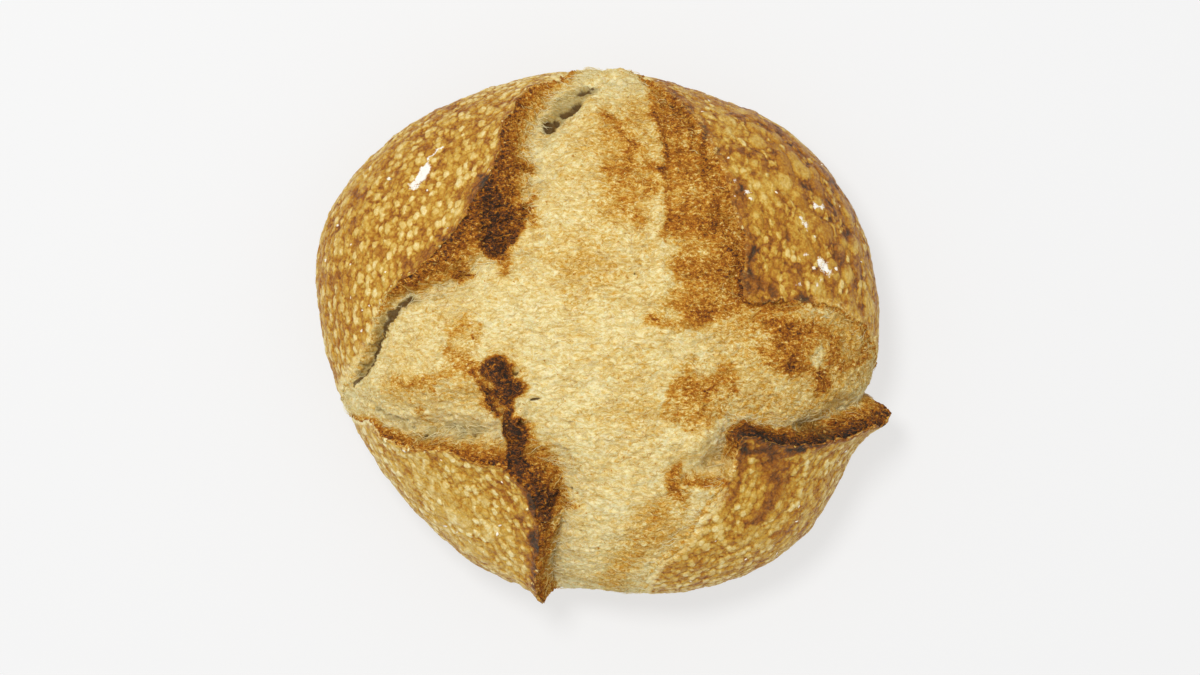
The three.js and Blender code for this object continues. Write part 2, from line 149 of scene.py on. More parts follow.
# Swellings and hollows of the crumb: x, y, half axes, turn in degrees, height.
LUMPS = [
    (0, 5, 40, 50, 0, 3.0), (41, 50, 14, 50, 0, 2.0), (82, -4, 22, 18, 0, 4.0), (49, -48, 9, 4.5, 20, -5.5),
    (41, -39, 10, 5, 25, 3.5), (13, 127, 8, 6, 0, 2.5), (93, -36, 8, 3.5, 0, -4.0),
    (107, -29, 10, 5, 10, -3.0), (-22, 66, 4, 7, 0, -1.8), (-30, 31, 7, 6, 0, -2.5),
    (-17, -87, 5, 5, 0, -2.0), (-15, -57, 7, 13, 15, -3.0), (-16, 98, 13, 6, 50, -3.5),
    (-65, -41, 30, 5, -3, -4.0),
]
CRUST_WAVE, CRUST_WAVE_SIZE = 0.45, 6.5
CRUMB_WAVE, CRUMB_WAVE_SIZE = 0.7, (14.0, 8.0)
CRUMB_FRAY, CRUMB_FRAY_SIZE = 0.35, (6.0, 3.5)
FADE_FROM, FADE_TO = 0.86, 0.96

# ---- where the oven coloured the loaf ------------------------------------------------------------
# Strokes on the flat map: line, half width, strength.
BAKED = [
    # torn face of the north-west flap: burnt core, branch beside it, rust
    ([(-37.5, 54), (-39, 47), (-39, 41), (-40, 35)], 4.2, 0.90),
    ([(-29, 54), (-30, 48), (-32, 43), (-35, 38)], 2.9, 0.72),
    ([(-28, 72), (-32, 68), (-33, 60)], 2.8, 0.60), ([(-39, 60), (-36, 54), (-34, 49)], 3.0, 0.30),
    ([(-25, 62), (-25, 51), (-25, 44)], 2.0, 0.34), ([(-53, 24), (-50, 26)], 2.8, 0.62),
    ([(-38, 64), (-42, 54), (-46, 44)], 3.0, 0.25), ([(-37, 31), (-36, 27)], 2.0, 0.30),
    ([(-43, 62), (-48, 46), (-58, 33), (-70, 25)], 2.6, 0.30),
    # ridge and mound of the west arm
    ([(-41, -13), (-37, -16), (-35, -20), (-38, -22)], 3.8, 0.88), ([(-37, -24), (-37, -34)], 2.7, 0.82),
    ([(-36.5, -37), (-35.5, -46), (-34, -52)], 4.0, 0.84),
    ([(-32, -40), (-26, -50), (-20, -60), (-16, -69), (-17, -76)], 5.0, 0.36), ([(-11, -76)], 2.0, 0.40),
    ([(-45, -21), (-44, -31)], 3.2, 0.36),
    ([(-83, -16), (-75, -17.5), (-70, -19), (-61, -13), (-49, -12)], 3.0, 0.17),
    ([(-49, -14), (-44, -22), (-43, -33)], 2.0, 0.34), ([(-60, -7), (-53, -9), (-43, -12)], 3.0, 0.28),
    ([(-50, -2)], 4.5, 0.08), ([(-58, -4), (-55, 3), (-50, 6.5), (-46, 4), (-45, -1)], 1.6, 0.20),
    ([(-49, 1), (-48, -0.5)], 1.2, 0.60), ([(-80, -31), (-78, -38), (-75, -43)], 1.5, 0.20),
    # dark core along the edge of the south-west flap
    ([(-36, -42), (-32, -52), (-26, -61), (-23, -69)], 4.0, 0.58),
    ([(-23, -70), (-22.5, -78), (-24, -86)], 4.0, 0.60), ([(-22, -88), (-24, -98), (-26, -110)], 2.4, 0.40),
    ([(-44, -57), (-38, -66), (-33, -80), (-31, -95), (-29, -112)], 4.5, 0.14),
    # toasted strip beside the north-east flap, with a darker line along its far side
    ([(40, 118), (41, 98), (42, 78), (43, 56), (44, 36), (44, 20)], 14.5, 0.27),
    ([(34, 108), (37, 86)], 9.0, 0.09), ([(44, 117), (49, 104), (54, 90)], 7.5, -0.24),
    ([(26, 101), (28, 89), (29, 77), (29, 60), (28, 39)], 1.6, 0.26), ([(24, 73), (27, 70)], 2.4, 0.34),
    ([(24, 62), (22, 60)], 2.4, 0.26), ([(30, 47), (36, 45), (42, 43)], 4.2, 0.16),
    ([(30, 28), (38, 26), (46, 24)], 3.8, 0.18), ([(48, 51), (51, 44), (53, 36), (52, 27)], 3.6, 0.20),
    ([(45, 86), (46, 70), (45, 58), (44, 44)], 1.8, 0.20), ([(57, 60), (59, 45), (60, 30)], 2.2, 0.22),
    ([(34, 108), (35, 92), (34, 78), (36, 62), (35, 50)], 1.5, 0.15),
    ([(39, 104), (40, 88), (39, 70), (41, 52)], 1.4, 0.13), ([(47, 78), (49, 62), (48, 48)], 1.4, 0.13),
    ([(24, 8)], 2.8, 0.56), ([(28, 6), (36, 7), (44, 9)], 2.4, 0.26), ([(29, 14), (40, 12)], 3.4, 0.14),
    ([(33, 84), (37, 84)], 2.6, -0.20), ([(49, 55), (49, 47)], 1.3, -0.24),
    ([(30, 60), (40, 57)], 1.6, -0.12), ([(29, 38), (37, 36)], 1.8, -0.12),
    ([(5, 96), (8, 92), (12, 87), (15, 82)], 2.4, 0.26), ([(6, 71)], 2.4, 0.34),
    ([(16, 79), (12, 65)], 2.6, 0.16), ([(15, 54), (18, 47)], 2.4, 0.16),
    # patch of the open middle and the fold below it
    ([(36, -18), (52, -17)], 4.6, 0.18), ([(35, -31), (42, -31)], 4.2, 0.19),
    ([(35, -24), (44, -24)], 6.0, 0.19), ([(40, -20)], 7.0, 0.05), ([(47, -22), (51, -15)], 4.5, 0.12),
    ([(57, -14), (56, -20), (51, -28), (44, -34)], 1.8, 0.18),
    ([(31, -18), (29, -25), (29, -30)], 1.8, 0.16), ([(38, -7), (36, -12)], 2.6, 0.14),
    ([(31, -53), (33, -60), (37, -63)], 3.0, 0.42), ([(38, -57), (45, -57), (51, -56)], 1.7, 0.38),
    # east arm
    ([(80, -10), (87, -12), (94, -13)], 3.0, 0.28), ([(91, -16), (90, -19), (96, -19)], 3.2, 0.36),
    ([(70, 5), (75, 2), (73, -3), (78, -8)], 4.0, 0.24), ([(80, 3), (88, 4), (95, 0), (96, -8)], 3.2, 0.24),
    ([(82, -4)], 7.0, 0.12), ([(66, -5), (70, -9), (77, -11)], 2.6, 0.24),
    ([(101, -12), (107, -10), (114, -8)], 2.4, 0.22), ([(89, -7)], 2.6, -0.20),
    ([(63, 4), (64, 10), (72, 12), (87, 13), (103, 8), (114, 0), (117, -9)], 1.3, 0.16),
    # painted shade: a brown line on the crumb just under the north-east crust's edge
    ([(60, 13), (70, 14.5), (84, 15)], 1.6, 0.26),
    # crust beside the south-east flap's corner
    ([(59, -41), (66, -43), (79, -43)], 2.6, 0.50), ([(79, -43), (95, -44)], 1.6, 0.30),
    ([(60, 34), (60, 26), (60, 19)], 1.8, 0.30), ([(64, 21), (68, 19)], 3.0, 0.30),
    ([(72, 51), (72, 43), (76, 39)], 2.4, 0.20), ([(59, -39), (57, -47), (55, -56), (52, -65)], 1.8, 0.34),
    ([(66, -49), (73, -52), (70, -64), (64, -70)], 5.0, 0.30),
]
STROKE_SOFTNESS, BROAD_SOFTNESS = 1.3, 113.0  # millimetres
# Reach, size and shift of the unevenness of browned strokes, and reach and size for the other marks.
BROWN_WANDERS = ((2.6, 7.0, 4.4), (1.0, 2.0, 6.6))
FLOUR_WANDER, MOIST_AND_SHADED_WANDER, HOLE_WANDER = (1.6, 2.4), (1.6, 4.0), (0.9, 2.0)
MOST_BROWNING, FOOT_BROWNING = 0.81, 0.25
FOOT_FROM, FOOT_OVER = 0.86, 0.13
# Broad tones with soft borders.
TINGED = [
    ([(-84, -22), (-71, -22), (-58, -22), (-50, -25)], 8.0, 0.13), ([(-60, 5)], 8.0, 0.07),
    ([(6, 92), (9, 70), (6, 54)], 8.0, 0.12), ([(17, 52), (20, 78), (19, 100)], 8.0, 0.14),
    ([(-8, 60), (-6, 20)], 14.0, 0.05), ([(8, -34), (20, -31), (19, -45), (12, -42)], 9.0, 0.08),
    ([(15, -12)], 10.0, 0.07), ([(-5, 30), (20, 30)], 16.0, 0.06), ([(0, 100), (10, 60)], 14.0, 0.05),
    ([(27, -71), (20, -89), (12, -106), (8, -122)], 7.0, 0.14), ([(62, 2), (112, -6)], 20.0, 0.14),
    ([(62, -26), (100, -30)], 10.0, 0.12), ([(-58, 98), (-85, 62), (-105, 25)], 28.0, 0.14),
    ([(70, 100), (92, 62), (85, 40)], 30.0, 0.18), ([(110, 80), (135, 20)], 25.0, 0.12),
    ([(66, -66), (95, -78), (60, -110)], 26.0, 0.06), ([(34, -80), (40, -100)], 12.0, 0.08),
    ([(-104, -48), (-90, -66), (-73, -88), (-46, -100)], 15.0, -0.15), ([(58, 8), (72, 6)], 10.0, 0.08),
]
# Grey crumb in the hollows, partly moist crumb and partly painted shade of the hollows, and the dark of
# holes and slits, which is painted shade.
MOIST_AND_SHADED = [
    ([(-4, 112), (-12, 106), (-19, 97)], 5.6, 1.1), ([(-20, 90), (-20, 82)], 4.0, 0.5),
    ([(5, 118), (15, 120)], 4.0, 0.5), ([(-24, 74), (-24, 70)], 3.0, 0.5),
    ([(-21, 62), (-24, 57)], 2.4, 0.45),
    ([(-70, 16), (-79.5, 12.5), (-86, 8), (-91, 1), (-97, -8), (-107, -18)], 2.2, 0.9),
    ([(-62, 17), (-54, 18), (-45, 20)], 3.6, 0.5), ([(-101, -32), (-95, -36), (-86, -43)], 3.0, 0.9),
    ([(-76, -44), (-67, -40), (-61, -43), (-54, -42)], 4.2, 0.9), ([(-81, -46)], 2.6, 0.9),
    ([(86, -37), (98, -37)], 3.2, 0.7), ([(109, -32), (118, -30)], 3.0, 0.5),
    ([(39, -49), (46, -51), (53, -48)], 2.8, 0.5), ([(52, -38)], 3.5, 0.4),
    ([(-20, -44), (-16, -52), (-11, -58)], 6.0, 0.45), ([(-18, -102), (-19, -114)], 5.0, 0.6),
]
# Holes: the crumb is pushed in, and their dark colour is painted shade.
HOLES = [
    ([(-21, 96), (-20, 93)], 2.5, 1.0), ([(-14, 101), (-10, 101)], 2.2, 1.0), ([(-8, 105)], 2.1, 1.0),
    ([(-6, 112), (-3, 113)], 2.3, 0.9), ([(-17, 97)], 1.4, 0.8), ([(-1, 117)], 1.5, 0.7),
    ([(5, 120)], 1.4, 0.6), ([(-102, -30)], 1.5, 0.5), ([(-98, -33)], 1.3, 0.5), ([(-95, -35)], 1.1, 0.5),
    ([(-92, -38)], 1.4, 0.5), ([(-89, -39)], 1.0, 0.5), ([(-86, -42)], 1.4, 0.5), ([(-80, -46)], 1.7, 0.7),
    ([(-75, -46)], 1.1, 0.5), ([(-70, -39)], 1.2, 0.5), ([(-66, -41)], 1.3, 0.5), ([(-61, -43)], 1.5, 0.52),
    ([(-56, -44)], 1.5, 0.52), ([(-51, -43)], 1.2, 0.5), ([(57, -45)], 1.0, 0.6),
    ([(85, -38), (93, -38), (99, -38)], 2.6, 0.46), ([(112, -32), (118, -30)], 1.8, 0.40),
    ([(63, -34)], 1.4, 0.46), ([(69, -28)], 1.2, 0.46), ([(50, -48), (53, -49)], 1.8, 0.46),
    ([(-33, -14)], 1.0, 0.9), ([(-25, -26), (-27, -27)], 0.9, 0.9), ([(-32, -36), (-30, -37)], 1.2, 0.9),
    ([(-11, -68)], 0.8, 0.9), ([(16, 26)], 0.6, 0.9), ([(-13, -48)], 0.6, 0.7), ([(-65, -35)], 0.8, 0.6),
    ([(-73, -25)], 0.6, 0.6),
]
# Shade in the slit under the western lip.
SHADED = [
    ([(-74, 15), (-79.5, 12.6), (-83.5, 9)], 1.8, 0.8),
    ([(-83.5, 9), (-88, 4.2), (-91, -0.6), (-95, -7.4)], 2.0, 0.85),
    ([(-95, -7.4), (-99, -13), (-106, -18), (-111, -21)], 1.4, 0.75),
]
FLOURED = [
    ([(-72, 61), (-69, 65)], 2.6, 1.0), ([(-69, 66), (-68, 71)], 2.0, 1.0),
    ([(-67, 74), (-64, 79)], 1.1, 0.9), ([(55, 62)], 1.3, 0.9), ([(59, 57)], 1.5, 1.0),
    ([(93, 54), (89, 55)], 1.5, 0.9), ([(82, 48)], 1.4, 0.8), ([(83, 45)], 2.0, 1.0),
    ([(90, 30), (92, 27)], 2.6, 1.0), ([(84, 34)], 1.2, 0.8), ([(79, 21)], 1.4, 1.0),
    ([(88, 21)], 1.5, 1.0), ([(50, 11)], 0.8, 1.0), ([(45, 7)], 0.9, 1.0), ([(80, -6)], 1.1, 1.0),
    ([(-85, 14)], 0.8, 1.0), ([(55, 56)], 1.1, 0.9), ([(-41, 66)], 0.8, 0.9),
]
BLISTERED = [
    ([(72, 92), (96, 62), (104, 34)], 30.0, 1.0), ([(80, -75), (100, -90)], 22.0, 0.45),
    ([(-55, -95), (-80, -72)], 14.0, 0.7), ([(-95, 75), (-110, 45)], 12.0, 0.5),
]

# ---- colours -------------------------------------------------------------------------------------
CRUMB_TONES = [
    (0.00, (240, 228, 178)), (0.15, (227, 202, 132)), (0.30, (208, 161, 67)), (0.45, (186, 121, 36)),
    (0.60, (157, 90, 26)), (0.75, (119, 65, 27)), (0.90, (80, 54, 39)), (1.00, (46, 37, 32)),
]
CRUST_TONES = [
    (0.00, (240, 226, 172)), (0.20, (220, 192, 118)), (0.40, (198, 157, 60)), (0.55, (175, 120, 27)),
    (0.70, (145, 82, 14)), (0.84, (102, 56, 18)), (0.93, (74, 46, 27)), (1.00, (50, 37, 29)),
]
CRUMB_BASE = 0.112
CRUST_BASE = 0.55
# grey of moist crumb, also used as painted shade in the hollows
MOIST_AND_SHADED_TONE = (146, 124, 70)
# painted shade in holes and in the slit under the western lip
HOLE_SHADE_TONE = (84, 54, 26)
FLOUR_TONE = (244, 240, 230)
SHEEN_TONE = (1.0, 0.82, 0.5, 1.0)  # reflected light takes on the crust's gold

# ---- finer detail --------------------------------------------------------------------------------
PEBBLE, SMALL_BLISTER, LARGE_BLISTER = 1.7, 3.3, 8.5  # millimetres
# Each set's name, place on the scale of crumb tones, arch in millimetres, thickness, spread of directions
# and share of the strands.
STRAND_SETS = [
    ("strands_straw", 0.13, 0.35, 1.0, 0.5, 0.40), ("strands_pale", 0.02, 0.6, 0.9, 0.6, 0.45),
    ("strands_toasted", 0.24, 0.35, 0.8, 0.8, 0.45),
]
HEART_CELLS = 56
HEART_BAKED = 0.42
# Loose bits to a square metre, where the surface below is full of them.
FLAKE_DENSITY, SKIN_AND_GLINT_DENSITY, GRAIN_DENSITY, FLOUR_DENSITY = 45000.0, 1600.0, 500000.0, 3500000.0


def linear(rgb):
    """A colour as eyes read it, 0 to 255, turned into the light that it reflects."""
    shares = [value / 255 for value in rgb]
    return tuple(s / 12.92 if s <= 0.04045 else ((s + 0.055) / 1.055) ** 2.4 for s in shares) + (1.0,)


# ---- form ----------------------------------------------------------------------------------------
def smooth(t):
    t = np.clip(t, 0, 1)
    return t * t * (3 - 2 * t)


def catmull(a, b, c, d, t):
    bend = (2 * a - 5 * b + 4 * c - d) * t * t
    return 0.5 * (2 * b + (c - a) * t + bend + (3 * b - a - 3 * c + d) * t ** 3)


def smooth_rows(rows, steps=6):
    """Rows of numbers run through by a smooth curve, `steps` samples to each span."""
    rows = np.asarray(rows, float)
    if len(rows) < 3:
        return rows
    padded = np.vstack([2 * rows[0] - rows[1], rows, 2 * rows[-1] - rows[-2]])
    spans = [catmull(*padded[i - 1:i + 3], k / steps) for i in range(1, len(rows)) for k in range(steps)]
    return np.vstack([spans, rows[-1:]])


def outline_radius(angle):
    at = (angle / (2 * math.pi)) % 1 * len(OUTLINE)
    i = np.floor(at).astype(int)
    near = [OUTLINE[(i + k) % len(OUTLINE)] for k in (-1, 0, 1, 2)]
    return catmull(*near, at - i)


def section_curve():
    """Half section of the body: share of the crust's length, radius over the widest, height."""
    crown = np.sin(np.linspace(0, math.pi / 2, SECTION_STEPS))
    dome = (1 - crown ** CROWN_ROUNDNESS).clip(0) ** (1 / SHOULDER_ROUNDNESS)
    crown_height = WIDEST_LEVEL + (BODY_HEIGHT - WIDEST_LEVEL) * dome
    angle = np.linspace(0, math.pi / 2, SECTION_STEPS)[1:]
    heel = FOOT_SHARE + (1 - FOOT_SHARE) * np.cos(angle).clip(0) ** (2 / UNDERCUT_ROUNDNESS)
    heel_height = WIDEST_LEVEL * (1 - np.sin(angle) ** (2 / HEEL_ROUNDNESS))
    radius = np.concatenate([crown, heel])
    height = np.concatenate([crown_height, heel_height])
    steps = np.hypot(np.diff(radius) * MEAN_RADIUS, np.diff(height))
    share = np.concatenate([[0], np.cumsum(steps)])
    return share / share[-1], radius, height


SECTION = section_curve()


def body_at(points):
    """The plain body, without relief: places and outward normals for points of the flat map."""
    angle = np.arctan2(points[:, 1], points[:, 0])
    share = np.clip(np.hypot(*points.T) / FLAT_RADIUS, 0, 1)
    widest = outline_radius(angle)
    radius, height = (np.interp(share, SECTION[0], SECTION[k]) for k in (1, 2))
    step = 0.006
    run, rise = (np.interp(np.minimum(share + step, 1), SECTION[0], SECTION[k])
                 - np.interp(np.maximum(share - step, 0), SECTION[0], SECTION[k]) for k in (1, 2))
    run = run * widest
    length = np.hypot(run, rise)
    c, s = np.cos(angle), np.sin(angle)
    place = np.stack([radius * widest * c, radius * widest * s, height], 1)
    normal = np.stack([-rise / length * c, -rise / length * s, run / length], 1)
    return place, normal


def lattice(i, j):
    v = np.sin(i * 127.1 + j * 311.7) * 43758.5453
    return v - np.floor(v)


def wave(x, y):
    """Smooth unevenness between -1 and 1 with one swing to a unit square."""
    i, j = np.floor(x), np.floor(y)
    u, v = smooth(x - i), smooth(y - j)
    near = lattice(i, j) * (1 - u) + lattice(i + 1, j) * u
    far = lattice(i, j + 1) * (1 - u) + lattice(i + 1, j + 1) * u
    return 2 * (near * (1 - v) + far * v) - 1


def distance_to(points, line):
    if len(line) == 1:
        return np.hypot(*(points - line[0]).T)
    least = np.full(len(points), np.inf)
    for a, b in zip(line[:-1], line[1:]):
        run = b - a
        t = np.clip((points - a) @ run / (run @ run), 0, 1)
        least = np.minimum(least, np.hypot(*(points - a - t[:, None] * run).T))
    return least


def inside(points, loop):
    x, y = points.T
    found = np.zeros(len(points), bool)
    for (ax, ay), (bx, by) in zip(loop, np.roll(loop, 1, axis=0)):
        if ay != by:
            found ^= ((ay > y) != (by > y)) & (x < (bx - ax) * (y - ay) / (by - ay) + ax)
    return found


class Flap:
    """One flap of crust on the flat map: its torn edge, and what that edge is like along its length."""

    def __init__(self, name, outward, stations):
        line = smooth_rows(stations)
        self.name = name
        self.outward = np.array([math.cos(math.radians(outward)), math.sin(math.radians(outward))])
        self.crest = line[:, :2]
        run = np.gradient(self.crest, axis=0)
        run /= np.hypot(*run.T)[:, None]
        lean = line[:, 4:5] * np.stack([-run[:, 1], run[:, 0]], 1)
        self.stations = np.hstack([line[:, 2:4], line[:, 5:6], lean])
        self.border = np.vstack([4 * self.crest[:1], self.crest, 4 * self.crest[-1:]])

    def depth(self, points):
        """Distance from the flap's border, positive on the flap."""
        distance = distance_to(points, self.border)
        corner = 4 * FLAT_RADIUS * self.outward
        return np.where(inside(points, np.vstack([self.border, corner])), distance, -distance)

    def edge_traits(self, points):
        """Lift, face width, browning and lean of the torn edge near each point."""
        apart_x, apart_y = (points[:, None, k] - self.crest[None, :, k] for k in (0, 1))
        gap = apart_x ** 2 + apart_y ** 2
        weight = (gap + 1) ** -2.5
        blended = weight @ self.stations / weight.sum(1)[:, None]
        return blended[:, 0], blended[:, 1], blended[:, 2], blended[:, 3:]


def crumb_height(points):
    x, y = points.T
    height = CRUMB_WAVE * wave(x / CRUMB_WAVE_SIZE[0] + 3.3, y / CRUMB_WAVE_SIZE[1] + 1.7)
    height += CRUMB_FRAY * wave(x / CRUMB_FRAY_SIZE[0], y / CRUMB_FRAY_SIZE[1])
    for line, top, spread in RIDGES:
        height += top * np.exp(-(distance_to(points, smooth_rows(line)) / spread) ** 2)
    for cx, cy, along, across, turn, top in LUMPS:
        c, s = math.cos(math.radians(turn)), math.sin(math.radians(turn))
        u = ((x - cx) * c + (y - cy) * s) / along
        v = (-(x - cx) * s + (y - cy) * c) / across
        height += top * np.exp(-u * u - v * v)
    return height


def painted(points, strokes, softness=STROKE_SOFTNESS):
    """How strongly the strokes colour each point. Each fades over about `softness` and they add up."""
    total = np.zeros(len(points))
    for line, width, strength in strokes:
        distance = distance_to(points, np.asarray(line, float))
        total += strength * np.exp(-(distance / width) ** max(2.0, width / softness))
    return total


def ragged(points, reach, size, shift=0.0):
    """The points moved about unevenly, which makes straight edges ragged."""
    x, y = points.T / size
    return points + reach * np.stack([wave(x + shift, y + 5.1), wave(x + 9.7, y + shift)], 1)


def frayed(points, tear):
    """The points moved as the torn edges wander, by up to about `tear` millimetres."""
    for share, size, shift in TEAR_WANDERS:
        points = ragged(points, share * tear, size, shift)
    return points


def body_fade(points):
    """1 over the loaf and 0 at its foot, where relief dies out."""
    return 1 - smooth((np.hypot(*points.T) / FLAT_RADIUS - FADE_FROM) / (FADE_TO - FADE_FROM))


def browning(points, strokes):
    """How far the oven browned each point, with the foot a little darker."""
    wandering = points
    for wander in BROWN_WANDERS:
        wandering = ragged(wandering, *wander)
    foot = smooth((np.hypot(*points.T) / FLAT_RADIUS - FOOT_FROM) / FOOT_OVER)
    marked = painted(wandering, strokes) + painted(points, TINGED, BROAD_SOFTNESS)
    return np.minimum(marked, MOST_BROWNING) + FOOT_BROWNING * foot


def crust_surface(flap, points, tear):
    """Places, outward normals and traits of a flap's crust over points of the flat map, in millimetres."""
    torn = frayed(points, tear)
    near = np.maximum(flap.depth(torn), 0)
    lift, _, browned, lean = flap.edge_traits(torn)
    x, y = points.T
    height = lift * np.exp(-near / CREST_FALL)
    height += CRUST_WAVE * wave(x / CRUST_WAVE_SIZE, y / CRUST_WAVE_SIZE) * smooth(near / CRUST_WAVE_SIZE)
    curl = LIP_CURL * np.exp(-(near / LIP_CURL_REACH) ** 2) * smooth(lift / FULL_LIP)
    height += curl * (1 + wave(x / LIP_CURL_SIZE, y / LIP_CURL_SIZE))
    flush = 1 - smooth(lift / FULL_LIP)
    height -= CRUST_THICKNESS * flush * np.exp(-(near / FLUSH_REACH) ** 2)
    fade = body_fade(points)
    place, normal = body_at(points + lean * (fade * np.exp(-near / LEAN_FALL))[:, None])
    place += normal * (fade * height)[:, None]
    raised = smooth((lift - RAISED_FROM) / RAISED_OVER)
    oven = browning(points, BAKED)
    scorched = LIP_SCORCH * browned * np.exp(-(near / EDGE_SCORCH) ** 2) * raised
    blended = np.exp(-(near / LOW_EDGE_BLEND) ** 2) * flush
    pale_lip = np.exp(-(near / PALE_LIP_REACH) ** 2) * raised * (1 - smooth(browned / PALE_LIP_BROWNING))
    traits = {
        "relief": fade,
        "rim": np.exp(-near / RIM_REACH) * raised,
        "faded": np.maximum(blended, pale_lip),
        "baked": oven + np.maximum(scorched - np.maximum(oven, 0), 0),
        "flour": painted(ragged(points, *FLOUR_WANDER), FLOURED),
        "blistered": painted(points, BLISTERED, BROAD_SOFTNESS).clip(0, 1),
    }
    return place, normal, traits


def crumb_surface(points, tear):
    """Places, outward normals and traits of the torn crumb and of what it hides under the crust."""
    torn = frayed(points, tear)
    edge = np.full(len(points), -np.inf)
    lift, face, browned, sink = (np.zeros(len(points)) for _ in range(4))
    lean = np.zeros((len(points), 2))
    for flap in FLAPS:
        here = flap.depth(torn)
        flap_lift, flap_face, flap_browned, flap_lean = flap.edge_traits(torn)
        beyond = np.maximum(-here - flap_face, 0)
        sink -= CRUMB_SINK * np.exp(-beyond / SINK_FALL) * smooth(flap_lift / SINK_LIFT)
        nearer = here > edge
        edge[nearer], lift[nearer], face[nearer], browned[nearer], lean[nearer] = (
            values[nearer] for values in (here, flap_lift, flap_face, flap_browned, flap_lean))
    near = np.maximum(edge, 0)
    under = lift * np.exp(-near / CREST_FALL) - CRUST_THICKNESS - UNDER_CRUST_GAP * smooth(near / TUCK)
    up = 1 + edge / np.maximum(face, LEAST_FACE)
    on_face = smooth(up)
    fade = body_fade(points)
    bend = smooth(up) * CRUMB_LEAN * np.exp(-near / LEAN_FALL)
    place, normal = body_at(points + lean * (fade * bend)[:, None])
    height = (crumb_height(torn) + sink) * (1 - on_face) + under * on_face
    place += normal * (fade * height)[:, None]
    near_lip = 0.45 * np.exp(-(edge / (0.35 * face + 0.8)) ** 2)
    down_face = 0.62 * smooth(1.15 + edge / (face + 1.5))
    scorch = np.where(edge > 0, 1.0, near_lip + down_face)
    pitted = ragged(points, *HOLE_WANDER)
    traits = {
        "relief": fade * smooth(1 - edge / TUCK),
        "open": smooth(-edge / 1.5) * (fade > 0.5),
        "face": on_face * (edge < 0),
        "baked": np.maximum(browning(points, BAKED), browned * scorch),
        "moist_shade": painted(ragged(points, *MOIST_AND_SHADED_WANDER), MOIST_AND_SHADED),
        "hole": painted(pitted, HOLES),
        "fringe": smooth(face / 5) * np.exp(-((edge + face + 1) / 3) ** 2),
        "shade": painted(pitted, SHADED),
    }
    return place, normal, traits


FLAPS = [Flap(name, *stations) for name, stations in FLAP_STATIONS.items()]


# ---- closed pieces out of sheets -----------------------------------------------------------------
def grid_cells(number):
    """The cells of a square grid of numbered corners."""
    return np.stack([number[:-1, :-1], number[1:, :-1], number[1:, 1:], number[:-1, 1:]], -1).reshape(-1, 4)


def cut_sheet(depth_at, low, high, pitch):
    """Cells of the flat map where depth_at is above 0, with the outer corners moved onto its zero line."""
    axes = [np.arange(a, b + pitch, pitch) for a, b in zip(low, high)]
    points = np.stack(np.meshgrid(*axes, indexing="ij"), -1)
    depth = depth_at(points.reshape(-1, 2)).reshape(points.shape[:2])
    slope = np.stack(np.gradient(depth, pitch), -1)
    close = np.abs(depth) < SNAP_SHARE * pitch
    steep = np.maximum((slope ** 2).sum(-1), LEAST_SLOPE)
    points[close] -= (depth / steep)[close][:, None] * slope[close]
    kept = ((depth > 0) | close).reshape(-1)
    deep = (depth > 0) & ~close
    number = np.arange(depth.size).reshape(depth.shape)
    corners = grid_cells(number)
    held = kept[corners]
    anchored = deep.reshape(-1)[corners].any(1)
    quads = corners[(held.sum(1) == 4) & anchored]
    bevelled = (held.sum(1) == 3) & anchored
    thirds = corners[bevelled][held[bevelled]].reshape(-1, 3)
    listed = np.concatenate([quads.reshape(-1), thirds.reshape(-1)])
    used, renumbered = np.unique(listed, return_inverse=True)
    fours, threes = renumbered[:quads.size], renumbered[quads.size:]
    faces = fours.reshape(-1, 4).tolist() + threes.reshape(-1, 3).tolist()
    return points.reshape(-1, 2)[used], faces


def rims_of(faces):
    """The closed rings of corners round a sheet, each in the direction that its faces run."""
    edges = {(a, b) for face in faces for a, b in zip(face, face[1:] + face[:1])}
    following = {a: b for a, b in sorted(edges) if (b, a) not in edges}
    rims = []
    while following:
        start, at = following.popitem()
        rim = [start]
        while at != start:
            rim.append(at)
            at = following.pop(at)
        rims.append(rim)
    return rims


def closed_solid(name, surface, faces, lip, apex):
    """A plain mesh: the sheet, a lip round its rim, and walls that close on a point inside."""
    place, normal, traits = surface
    rims = rims_of(faces)
    if len(rims) != 1:
        raise RuntimeError(f"the sheet of {name} has {len(rims)} rims")
    rim = rims[0]
    layers, origin = [place], list(range(len(place)))
    ring, reached = list(rim), place[rim]
    total = len(place)

    def next_ring(kept, spots):
        nonlocal ring, reached, total
        fresh = list(range(total, total + len(kept)))
        for k, start in enumerate(kept):
            last = k + 1 == len(kept)
            end = len(ring) if last else kept[k + 1]
            outer = (ring + ring[:1])[start:end + 1]
            faces.append(outer[::-1] + [fresh[k], fresh[0 if last else k + 1]])
        origin.extend(origin[ring[k]] for k in kept)
        layers.append(spots)
        ring, reached, total = fresh, spots, total + len(kept)

    for depth in lip:
        next_ring(range(len(ring)), place[rim] - depth * normal[rim])
    while len(ring) > WALL_END:
        kept = range(0, len(ring), 2)
        next_ring(kept, reached[kept] + WALL_STEP * (apex - reached[kept]))
    faces.extend([b, a, total] for a, b in zip(ring, ring[1:] + ring[:1]))
    origin.append(rim[0])
    layers.append(apex[None, :])
    mesh = bpy.data.meshes.new(name + "_plain")
    mesh.from_pydata((np.vstack(layers) * MM).tolist(), [], faces)
    mesh.update()
    sheet = np.arange(len(origin)) < len(place)
    traits = {key: values[origin] for key, values in traits.items()}
    traits["relief"] = traits["relief"] * sheet
    traits["skin"] = sheet.astype(float)
    for key, values in traits.items():
        mesh.attributes.new(key, "FLOAT", "POINT").data.foreach_set("value", values.astype(np.float32))
    return mesh


